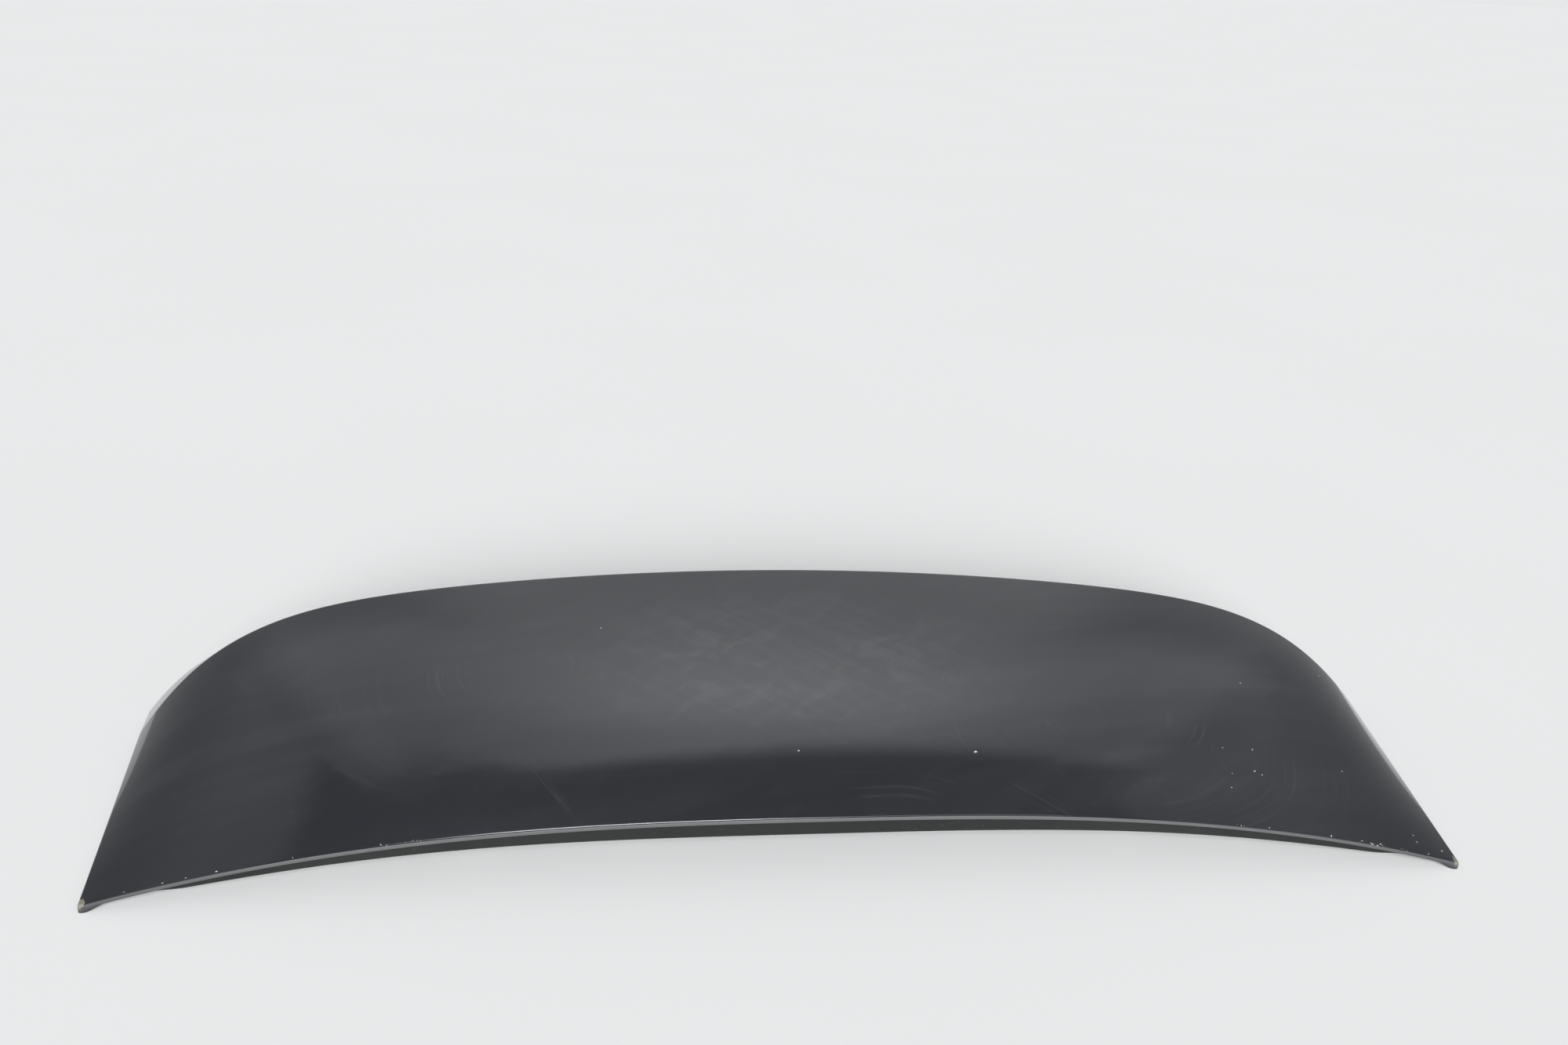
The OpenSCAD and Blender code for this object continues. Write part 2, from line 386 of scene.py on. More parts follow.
def write_attribute(made: bpy.types.Object, name: str, value: Callable[[Array], Array]) -> None:
    """Writes a number at each vertex, worked out from the vertices' places in millimetres.

    Args:
        made: The object.
        name: The attribute's name.
        value: Gives the numbers for an array of places.
    """
    mesh = made.data
    places = np.empty(len(mesh.vertices) * 3)
    mesh.vertices.foreach_get("co", places)
    layer = mesh.attributes.new(name, "FLOAT", "POINT")
    layer.data.foreach_set("value", value(places.reshape(-1, 3) / MM).astype(np.float32))


class Graph:
    """Adds and links the nodes of one shader tree."""

    def __init__(self, tree: bpy.types.NodeTree) -> None:
        """Keeps the tree that the nodes go into."""
        self.tree = tree

    def feed(self, socket: Socket, value: Socket | float | Sequence[float]) -> None:
        """Links a socket to another, or sets its value.

        Args:
            socket: The socket to feed.
            value: Another socket, a number or a colour.
        """
        if isinstance(value, bpy.types.NodeSocket):
            self.tree.links.new(value, socket)
        else:
            socket.default_value = value

    def node(self, kind: str, settings: dict | None = None, **inputs: object) -> bpy.types.Node:
        """Adds a node.

        Args:
            kind: Its Blender type.
            settings: Attributes to set on it.
            **inputs: Values or sockets for its inputs, with _ for a space.

        Returns:
            The node.
        """
        made = self.tree.nodes.new(kind)
        for name, value in (settings or {}).items():
            setattr(made, name, value)
        for name, value in inputs.items():
            self.feed(made.inputs[name.replace("_", " ")], value)
        return made

    def math(self, operation: str, *values: Number) -> Socket:
        """Adds a Math node and returns its value.

        Args:
            operation: Blender's name for what it does.
            *values: Numbers or sockets, in order.

        Returns:
            The value's socket.
        """
        made = self.node("ShaderNodeMath", {"operation": operation})
        for socket, value in zip(made.inputs, values):
            self.feed(socket, value)
        return made.outputs[0]

    def times(self, *values: Number) -> Socket:
        """Multiplies two or more values."""
        return reduce(lambda a, b: self.math("MULTIPLY", a, b), values)

    def plus(self, *values: Number) -> Socket:
        """Adds two or more values."""
        return reduce(lambda a, b: self.math("ADD", a, b), values)

    def most(self, *values: Number) -> Socket:
        """Takes the largest of two or more values."""
        return reduce(lambda a, b: self.math("MAXIMUM", a, b), values)

    def less(self, value: Number, other: Number) -> Socket:
        """Subtracts the second value from the first."""
        return self.math("SUBTRACT", value, other)

    def vector(self, operation: str, *values: Colour) -> bpy.types.NodeOutputs:
        """Adds a Vector Math node and returns its outputs: the vector, and the number as Value.

        Args:
            operation: Blender's name for what it does.
            *values: Vectors or sockets, in order.

        Returns:
            The outputs, with a length under Value.
        """
        made = self.node("ShaderNodeVectorMath", {"operation": operation})
        for socket, value in zip(made.inputs, values):
            self.feed(socket, value)
        return made.outputs

    def line(self, value: Socket, width: Number) -> Socket:
        """Draws the thin line along which a value is 0.5, fading out at a width to both sides."""
        share = self.math("DIVIDE", self.math("ABSOLUTE", self.less(value, 0.5)), width)
        return self.less(1.0, self.math("MINIMUM", share, 1.0))

    def ramp(self, value: Socket, low: Number, high: Number, to_low: float = 0, to_high: float = 1) -> Socket:
        """Maps a value from low..high to to_low..to_high with soft ends.

        Args:
            value: The value to map.
            low: Where it starts.
            high: Where it ends.
            to_low: The result at the start.
            to_high: The result at the end.

        Returns:
            The value's socket.
        """
        ends = {"From_Min": low, "From_Max": high, "To_Min": to_low, "To_Max": to_high}
        soft = {"interpolation_type": "SMOOTHSTEP"}
        return self.node("ShaderNodeMapRange", soft, Value=value, **ends).outputs[0]

    def mix(self, factor: Number, a: Colour, b: Colour) -> Socket:
        """Mixes two colours.

        Args:
            factor: How much of the second there is.
            a: The first colour.
            b: The second colour.

        Returns:
            The colour's socket.
        """
        made = self.node("ShaderNodeMix", {"data_type": "RGBA"})
        self.feed(made.inputs[0], factor)
        self.feed(made.inputs[6], a)
        self.feed(made.inputs[7], b)
        return made.outputs[2]

    def noise(self, place: Socket, scale: Number, detail: float = 2.0, bend: float = 0.0) -> Socket:
        """Adds a Noise texture and returns its value."""
        inputs = {"Vector": place, "Scale": scale, "Detail": detail, "Distortion": bend}
        return self.node("ShaderNodeTexNoise", None, **inputs).outputs[0]

    def stretched(self, place: Socket, turn_deg: float, stretch: Sequence[float]) -> Socket:
        """Turns coordinates about Z and then stretches them.

        Args:
            place: The coordinates.
            turn_deg: The turn in degrees.
            stretch: A factor for each axis, where a small one gives long streaks.

        Returns:
            The new coordinates.
        """
        angle = math.radians(turn_deg)
        made = self.node("ShaderNodeVectorRotate", {"rotation_type": "Z_AXIS"}, Vector=place, Angle=angle)
        return self.vector("MULTIPLY", made.outputs[0], stretch)[0]

    def attribute(self, name: str) -> Socket:
        """Reads a number stored at the vertices."""
        return self.node("ShaderNodeAttribute", {"attribute_name": name}).outputs["Fac"]

    def place(self) -> Socket:
        """Reads the object's own coordinates."""
        return self.node("ShaderNodeTexCoord").outputs["Object"]

    def end(self, shader: Socket, kind: str = "ShaderNodeOutputMaterial") -> None:
        """Sends a shader to the tree's output."""
        self.node(kind, None, Surface=shader)


def blank(name: str) -> tuple[bpy.types.Material, Graph]:
    """Makes a material whose tree is still empty.

    Args:
        name: The material's name.

    Returns:
        The material and the graph of its tree.
    """
    material = bpy.data.materials.new(name)
    material.use_nodes = True
    material.node_tree.nodes.clear()
    return material, Graph(material.node_tree)


def rgba(red: float, green: float, blue: float) -> tuple[float, float, float, float]:
    """A colour with full alpha."""
    return (red, green, blue, 1.0)


class Effects:
    """Shader node groups that several finishes share.

    Scratches run along a few headings, each with its own seed. Swirls go round a few centres, in metres.
    """

    scratch_runs = ((9.0, 0.0), (57.0, 3.1), (-34.0, 7.7), (81.0, 12.3))
    swirl_centres = ((0.06, -0.22, 0.0), (-0.24, 0.02, 0.0), (0.30, -0.05, 0.0), (-0.05, 0.30, 0.0))

    def __init__(self) -> None:
        """Builds every group once."""
        self.scratches = self._scratches()
        self.swirls = self._swirls()
        self.smears = self._smears()
        self.smudge = self._smudge()
        self.specks = self._specks()
        self.wear = self._wear()
        self.grain = self._grain()

    @staticmethod
    def _group(
        name: str, inputs: dict[str, float], outputs: Sequence[str] = ("Mask",)
    ) -> tuple[Graph, dict, dict]:
        """Starts a node group.

        Args:
            name: The group's name.
            inputs: Each number that goes in, with its default.
            outputs: Names of the value outputs.

        Returns:
            The graph, its input sockets and its output sockets by name.
        """
        tree = bpy.data.node_groups.new(name, "ShaderNodeTree")
        tree.interface.new_socket("Place", in_out="INPUT", socket_type="NodeSocketVector")
        for label, default in inputs.items():
            made = tree.interface.new_socket(label, in_out="INPUT", socket_type="NodeSocketFloat")
            made.default_value = default
        for label in outputs:
            tree.interface.new_socket(label, in_out="OUTPUT", socket_type="NodeSocketFloat")
        graph = Graph(tree)
        start = graph.node("NodeGroupInput").outputs
        end = graph.node("NodeGroupOutput").inputs
        return graph, {s.name: s for s in start}, {s.name: s for s in end}

    def _scratches(self) -> bpy.types.NodeTree:
        """Hair-thin, nearly straight scratches in a few directions, as a mask.

        Returns:
            The node group.
        """
        graph, given, wanted = self._group("hair_scratches", {"Scale": 40.0, "Width": 0.01})
        total: Number = 0.0
        for turn, seed in self.scratch_runs:
            along = graph.stretched(given["Place"], turn, (0.005, 1.0, 0.0))
            place = graph.vector("ADD", along, (seed, seed, 0.0))[0]
            thin = graph.line(graph.noise(place, given["Scale"], 0.0), given["Width"])
            patches = graph.noise(graph.stretched(place, 0.0, (40.0, 1.0, 1.0)), 11.0, 2.0)
            total = graph.most(total, graph.times(thin, graph.ramp(patches, 0.57, 0.72)))
        graph.feed(wanted["Mask"], total)
        return graph.tree

    def _swirls(self) -> bpy.types.NodeTree:
        """Faint arcs that a wiping cloth leaves round a few centres, as a mask.

        Returns:
            The node group.
        """
        graph, given, wanted = self._group("wiping_swirls", {"Width": 0.02})
        total: Number = 0.0
        for number, centre in enumerate(self.swirl_centres):
            offset = graph.vector("SUBTRACT", given["Place"], centre)[0]
            reach = graph.vector("LENGTH", graph.vector("MULTIPLY", offset, (1.0, 1.25, 0.0))[0])["Value"]
            wobble = graph.times(graph.noise(given["Place"], 7.0, 1.0), 0.05)
            flat = {"noise_dimensions": "1D"}
            ring = graph.node("ShaderNodeTexNoise", flat, Scale=90.0 + 17 * number, Detail=1.0)
            graph.feed(ring.inputs["W"], graph.plus(reach, wobble))
            thin = graph.line(ring.outputs[0], given["Width"])
            near = graph.ramp(reach, 0.04, 0.30, 1.0, 0.0)
            patches = graph.ramp(graph.noise(offset, 13.0, 2.0), 0.50, 0.66)
            total = graph.most(total, graph.times(thin, near, patches))
        graph.feed(wanted["Mask"], total)
        return graph.tree

    def _smears(self) -> bpy.types.NodeTree:
        """Broad strokes left by a wiping cloth.

        Returns:
            The node group.
        """
        graph, given, wanted = self._group("wipe_smears", {"Scale": 6.0})
        along = graph.stretched(given["Place"], -7.0, (0.16, 2.4, 0.0))
        first = graph.noise(along, given["Scale"], 4.0, 0.5)
        across = graph.stretched(given["Place"], -38.0, (0.5, 2.2, 1.0))
        second = graph.noise(across, given["Scale"], 3.0, 0.6)
        strokes = graph.times(graph.ramp(first, 0.42, 0.68), graph.ramp(second, 0.36, 0.66))
        graph.feed(wanted["Mask"], strokes)
        return graph.tree

    def _smudge(self) -> bpy.types.NodeTree:
        """A cloudy spot with slanted strokes, where a hand or cloth has rubbed.

        Returns:
            The node group.
        """
        graph, given, wanted = self._group("rubbed_smudge", {"Reach": 0.25})
        flat = graph.vector("MULTIPLY_ADD", given["Place"], (1.0, 1.8, 0.0), (0.0, -0.055, 0.0))[0]
        away = graph.vector("LENGTH", flat)["Value"]
        near = graph.ramp(graph.math("DIVIDE", away, given["Reach"]), 0.2, 1.0, 1.0, 0.0)
        cloud = graph.noise(graph.stretched(given["Place"], -30.0, (0.8, 1.5, 0.0)), 22.0, 3.0, 1.6)
        slanted = graph.noise(graph.stretched(given["Place"], 37.0, (0.22, 3.2, 0.0)), 30.0, 3.0, 0.4)
        blots = graph.ramp(cloud, 0.45, 0.66, 0.0, 0.62)
        strokes = graph.ramp(slanted, 0.44, 0.62, 0.0, 0.38)
        graph.feed(wanted["Mask"], graph.times(near, graph.plus(blots, strokes)))
        return graph.tree

    def _specks(self) -> bpy.types.NodeTree:
        """Scattered grains: one in some of the cells, each of its own size.

        Returns:
            The node group.
        """
        graph, given, wanted = self._group("specks", {"Scale": 90.0, "Share": 0.2, "Radius": 0.1})
        cells = graph.node("ShaderNodeTexVoronoi", None, Vector=given["Place"], Scale=given["Scale"])
        tone = graph.node("ShaderNodeSeparateColor", None, Color=cells.outputs["Color"]).outputs
        kept = graph.math("LESS_THAN", tone[0], given["Share"])
        radius = graph.times(given["Radius"], graph.ramp(tone[1], 0.0, 1.0, 0.35, 1.0))
        near = graph.math("LESS_THAN", cells.outputs["Distance"], radius)
        graph.feed(wanted["Mask"], graph.times(kept, near))
        return graph.tree

    def _wear(self) -> bpy.types.NodeTree:
        """Broken, chipped paint where an edge is close.

        Returns:
            The node group.
        """
        inputs = {"Edge": 0.0, "Scale": 260.0, "Amount": 0.5, "Patchy": 1.0}
        graph, given, wanted = self._group("edge_wear", inputs)
        broken = graph.noise(given["Place"], given["Scale"], 3.0, 0.6)
        gaps = graph.ramp(graph.noise(given["Place"], 22.0, 2.0), 0.45, 0.7, 1.0, 0.0)
        patches = graph.less(1.0, graph.times(gaps, given["Patchy"]))
        reach = graph.times(given["Edge"], given["Amount"], patches)
        level = graph.less(graph.plus(broken, reach), 0.82)
        graph.feed(wanted["Mask"], graph.ramp(level, 0.0, 0.05))
        return graph.tree

    def _grain(self) -> bpy.types.NodeTree:
        """Fine pebbled grain of a moulded or foamed surface.

        Returns:
            The node group.
        """
        inputs = {"Scale": 900.0, "Cells": 0.5}
        graph, given, wanted = self._group("moulded_grain", inputs, ["Height", "Tone"])
        pebbles = graph.node("ShaderNodeTexVoronoi", None, Vector=given["Place"], Scale=given["Scale"])
        fine = graph.noise(given["Place"], given["Scale"], 3.0)
        rounded = graph.times(pebbles.outputs["Distance"], given["Cells"])
        graph.feed(wanted["Height"], graph.plus(rounded, fine))
        graph.feed(wanted["Tone"], graph.noise(given["Place"], 14.0, 4.0))
        return graph.tree


class Finish:
    """A finish that makes one material."""

    name: str

    def build(self, effects: Effects) -> bpy.types.Material:
        """Makes the material.

        Args:
            effects: The shared node groups.

        Returns:
            The material.
        """
        material, graph = blank(self.name)
        shader = graph.node("ShaderNodeBsdfPrincipled")
        graph.end(shader.outputs[0])
        self.paint(graph, shader.inputs, effects)
        return material

    def paint(self, graph: Graph, surface: Sockets, effects: Effects) -> None:
        """Feeds the surface's sockets."""
        raise NotImplementedError

    @staticmethod
    def effect(graph: Graph, group: bpy.types.NodeTree, **inputs: object) -> bpy.types.Node:
        """Places a shared group with its own values.

        Args:
            graph: The material's tree.
            group: The shared group.
            **inputs: Values or sockets for its inputs.

        Returns:
            The group's node.
        """
        made = graph.node("ShaderNodeGroup", {"node_tree": group})
        for name, value in inputs.items():
            graph.feed(made.inputs[name], value)
        return made

    @classmethod
    def mask(cls, graph: Graph, group: bpy.types.NodeTree, **inputs: object) -> Socket:
        """Places a shared group at the object's own coordinates and returns its first value."""
        return cls.effect(graph, group, Place=graph.place(), **inputs).outputs[0]

    @staticmethod
    def bump(graph: Graph, height: Socket, distance: float, strength: float = 1.0) -> Socket:
        """Turns a height into a normal."""
        made = graph.node("ShaderNodeBump", None, Height=height, Distance=distance, Strength=strength)
        return made.outputs[0]


@dataclass(frozen=True)
class GlossLacquer(Finish):
    """Black high-gloss lacquer with haze, wiping swirls, scratches, dust and worn tips, and a painted
    reflection: the lip's lower round is painted grey as if it mirrored the bright floor in front, and is
    rougher there.
    """

    name: str = "gloss_lacquer"
    black: tuple = rgba(0.0078, 0.0088, 0.0125)
    haze: tuple = rgba(0.34, 0.35, 0.37)
    lip_reflection_grey: tuple = rgba(0.108, 0.109, 0.111)
    primer: tuple = rgba(0.62, 0.60, 0.54)
    bare: tuple = rgba(0.32, 0.30, 0.24)
    back: tuple = rgba(0.020, 0.021, 0.022)
    smear_haze: float = 0.022
    fine_haze: float = 0.012
    smudge_haze: float = 0.050
    scratch_haze: float = 0.022
    hair_haze: float = 0.014
    swirl_haze: float = 0.03
    lip_reflection_share: float = 0.85
    dust_tone: float = 0.16
    mote_tone: float = 0.7
    lip_wear: float = 0.8
    tip_wear: float = 0.6
    clear_roughness: float = 0.07
    smear_roughness: float = 0.04
    lip_roughness: float = 0.14
    cut_roughness: float = 0.4
    back_roughness: float = 0.38
    scratch_cut: float = 0.2
    peel_scale: float = 210.0
    peel_share: float = 0.10
    cut_share: float = 0.5
    relief: float = 4e-5
    coat: float = 0.12
    coat_roughness: float = 0.25

    def paint(self, graph: Graph, surface: Sockets, effects: Effects) -> None:
        """Feeds the surface's sockets.

        Args:
            graph: The material's tree.
            surface: The shader's sockets.
            effects: The shared node groups.
        """
        shown = graph.attribute("outer_face")
        # lip is 1 on the lip's lower round, which gets a painted reflection in its colour and a rougher
        # finish.
        lip = graph.attribute("lip_round")
        above_lip = graph.less(1.0, lip)
        smears = self.mask(graph, effects.smears, Scale=5.5)
        fine_smears = self.mask(graph, effects.smears, Scale=19.0)
        smudge = self.mask(graph, effects.smudge, Reach=0.27)
        scratches = self.mask(graph, effects.scratches, Scale=95.0, Width=0.005)
        hair = self.mask(graph, effects.scratches, Scale=230.0, Width=0.010)
        swirls = self.mask(graph, effects.swirls, Width=0.030)
        dust = self.mask(graph, effects.specks, Scale=170.0, Share=0.07, Radius=0.07)
        motes = self.mask(graph, effects.specks, Scale=30.0, Share=0.08, Radius=0.018)
        worn_lip = self.mask(graph, effects.wear, Scale=420.0, Amount=0.34, Edge=graph.attribute("lip_edge"))
        tip = graph.attribute("tip_edge")
        worn_tip = self.mask(graph, effects.wear, Scale=300.0, Amount=0.9, Patchy=0.1, Edge=tip)
        worn = graph.most(worn_lip, worn_tip, motes)
        cuts = graph.most(graph.times(scratches, above_lip, self.scratch_cut), worn)

        veil = graph.plus(
            graph.times(smears, self.smear_haze),
            graph.times(fine_smears, self.fine_haze),
            graph.times(smudge, self.smudge_haze),
        )
        lines = graph.most(
            graph.times(scratches, self.scratch_haze),
            graph.times(hair, self.hair_haze),
            graph.times(swirls, self.swirl_haze),
        )
        tone = graph.mix(graph.times(above_lip, graph.plus(veil, lines)), self.black, self.haze)
        # The first mix is a painted reflection: the lip's lower round is painted grey for the bright floor
        # mirrored there. The others are dust, chips and wear.
        for mask, strength, colour in (
            (lip, self.lip_reflection_share, self.lip_reflection_grey),
            (dust, self.dust_tone, self.haze),
            (motes, self.mote_tone, self.primer),
            (worn_lip, self.lip_wear, self.primer),
            (worn_tip, self.tip_wear, self.bare),
        ):
            tone = graph.mix(graph.times(mask, strength), tone, colour)
        graph.feed(surface["Base Color"], graph.mix(shown, self.back, tone))

        rough = graph.plus(
            self.clear_roughness,
            graph.times(smears, self.smear_roughness),
            graph.times(lip, self.lip_roughness),
            graph.times(cuts, self.cut_roughness),
        )
        back_rough = graph.ramp(shown, 0.0, 1.0, self.back_roughness, 0.0)
        graph.feed(surface["Roughness"], graph.plus(rough, back_rough))
        peel = graph.times(graph.noise(graph.place(), self.peel_scale, 1.0), self.peel_share)
        height = graph.plus(peel, graph.times(cuts, -self.cut_share))
        graph.feed(surface["Normal"], self.bump(graph, height, self.relief))
        coat = graph.times(shown, graph.less(1.0, worn), self.coat)
        graph.feed(surface["Coat Weight"], coat)
        surface["Coat Roughness"].default_value = self.coat_roughness


@dataclass(frozen=True)
class MouldedPlastic(Finish):
    """Matt black plastic with a fine moulded grain and a little dust in it."""

    name: str
    tone: tuple
    light: tuple
    roughness: float = 0.5
    specular: float = 0.5
    grain_scale: float = 900.0
    grain_depth: float = 6e-5
    subsurface: float = 0.0
    light_depth: float = 0.003
    flow_share: float = 0.22
    dust_share: float = 0.10
    dust: tuple = rgba(0.5, 0.5, 0.48)
    smoothest: float = -0.06
    roughest: float = 0.08

    def paint(self, graph: Graph, surface: Sockets, effects: Effects) -> None:
        """Feeds the surface's sockets.

        Args:
            graph: The material's tree.
            surface: The shader's sockets.
            effects: The shared node groups.
        """
        place = graph.place()
        grain = self.effect(graph, effects.grain, Place=place, Scale=self.grain_scale, Cells=0.8)
        dust = self.mask(graph, effects.specks, Scale=260.0, Share=0.12, Radius=0.16)
        flow = graph.ramp(grain.outputs["Tone"], 0.35, 0.7)
        tone = graph.mix(graph.times(flow, self.flow_share), self.tone, self.light)
        tone = graph.mix(graph.times(dust, self.dust_share), tone, self.dust)
        graph.feed(surface["Base Color"], tone)
        ends = [self.roughness + change for change in (self.smoothest, self.roughest)]
        graph.feed(surface["Roughness"], graph.ramp(flow, 0.0, 1.0, *ends))
        graph.feed(surface["Normal"], self.bump(graph, grain.outputs["Height"], self.grain_depth))
        surface["Specular IOR Level"].default_value = self.specular
        surface["Subsurface Weight"].default_value = self.subsurface
        surface["Subsurface Scale"].default_value = self.light_depth


@dataclass(frozen=True)
class Foam(Finish):
    """Closed-cell foam or foam tape: open pores on a dull, slightly uneven surface."""

    name: str
    tone: tuple
    light: tuple
    pore_scale: float = 420.0
    pore_depth: float = 2.5e-4
    pore_strength: float = 0.7
    paler_share: float = 0.4
    sheen: float = 0.15

    def paint(self, graph: Graph, surface: Sockets, effects: Effects) -> None:
        """Feeds the surface's sockets.

        Args:
            graph: The material's tree.
            surface: The shader's sockets.
            effects: The shared node groups.
        """
        place = graph.place()
        grain = self.effect(graph, effects.grain, Place=place, Scale=self.pore_scale, Cells=1.6)
        pores = graph.ramp(grain.outputs["Height"], 0.55, 1.25)
        tone = graph.mix(pores, self.light, self.tone)
        paler = graph.times(grain.outputs["Tone"], self.paler_share)
        graph.feed(surface["Base Color"], graph.mix(paler, tone, self.light))
        graph.feed(surface["Roughness"], graph.ramp(grain.outputs["Tone"], 0.3, 0.7, 0.82, 0.95))
        height = grain.outputs["Height"]
        graph.feed(surface["Normal"], self.bump(graph, height, self.pore_depth, self.pore_strength))
        surface["Sheen Weight"].default_value = self.sheen


@dataclass(frozen=True)
class ZincSteel(Finish):
    """Zinc-plated steel with turned lines and a warm, uneven passivation."""

    name: str = "zinc_steel"
    bright: tuple = rgba(0.66, 0.66, 0.63)
    warm: tuple = rgba(0.60, 0.55, 0.42)
    relief: float = 2e-5

    def paint(self, graph: Graph, surface: Sockets, effects: Effects) -> None:
        """Feeds the surface's sockets.

        Args:
            graph: The material's tree.
            surface: The shader's sockets.
            effects: The shared node groups.
        """
        place = graph.place()
        grain = self.effect(graph, effects.grain, Place=place, Scale=1500.0, Cells=0.4)
        lines = graph.noise(graph.stretched(place, 0.0, (1.0, 1.0, 14.0)), 700.0, 2.0)
        cloud = graph.ramp(graph.noise(place, 160.0, 3.0), 0.4, 0.65)
        graph.feed(surface["Base Color"], graph.mix(cloud, self.bright, self.warm))
        surface["Metallic"].default_value = 1.0
        graph.feed(surface["Roughness"], graph.ramp(lines, 0.3, 0.7, 0.24, 0.42))
        height = graph.plus(grain.outputs["Height"], lines)
        graph.feed(surface["Normal"], self.bump(graph, height, self.relief))


@dataclass(frozen=True)
class BarePaint(Finish):
    """Pale primer that shows in a stone chip."""

    name: str = "chip_primer"
    pale: tuple = rgba(0.56, 0.55, 0.53)
    dirty: tuple = rgba(0.30, 0.28, 0.25)
    relief: float = 5e-5

    def paint(self, graph: Graph, surface: Sockets, effects: Effects) -> None:
        """Feeds the surface's sockets.

        Args:
            graph: The material's tree.
            surface: The shader's sockets.
            effects: The shared node groups; not used.
        """
        place = graph.place()
        spots = graph.ramp(graph.noise(place, 900.0, 3.0), 0.42, 0.66)
        graph.feed(surface["Base Color"], graph.mix(spots, self.pale, self.dirty))
        graph.feed(surface["Roughness"], graph.ramp(spots, 0.0, 1.0, 0.55, 0.8))
        graph.feed(surface["Normal"], self.bump(graph, graph.noise(place, 1600.0, 2.0), self.relief))


@dataclass
class Workshop:
    """Dresses pieces and ties them to the frame."""

    effects: Effects = field(default_factory=Effects)
    made: dict[str, bpy.types.Material] = field(default_factory=dict)

    def place(self, piece: bpy.types.Object, finish: Finish, slot: Slot, *nodes: str) -> bpy.types.Object:
        """Gives a piece its finish and its body, and hides the CAD nodes that it stands for.

        Args:
            piece: The finished mesh object.
            finish: What it is made of.
            slot: The record's material slot; not used.
            *nodes: CAD nodes that it replaces.

        Returns:
            The piece.
        """
        if finish.name not in self.made:
            self.made[finish.name] = finish.build(self.effects)
        piece.data.materials.clear()
        piece.data.materials.append(self.made[finish.name])
        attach(piece, BODY)
        if nodes:
            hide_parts(*nodes)
        LOG.info("%s: %d faces", piece.name, len(piece.data.polygons))
        return piece


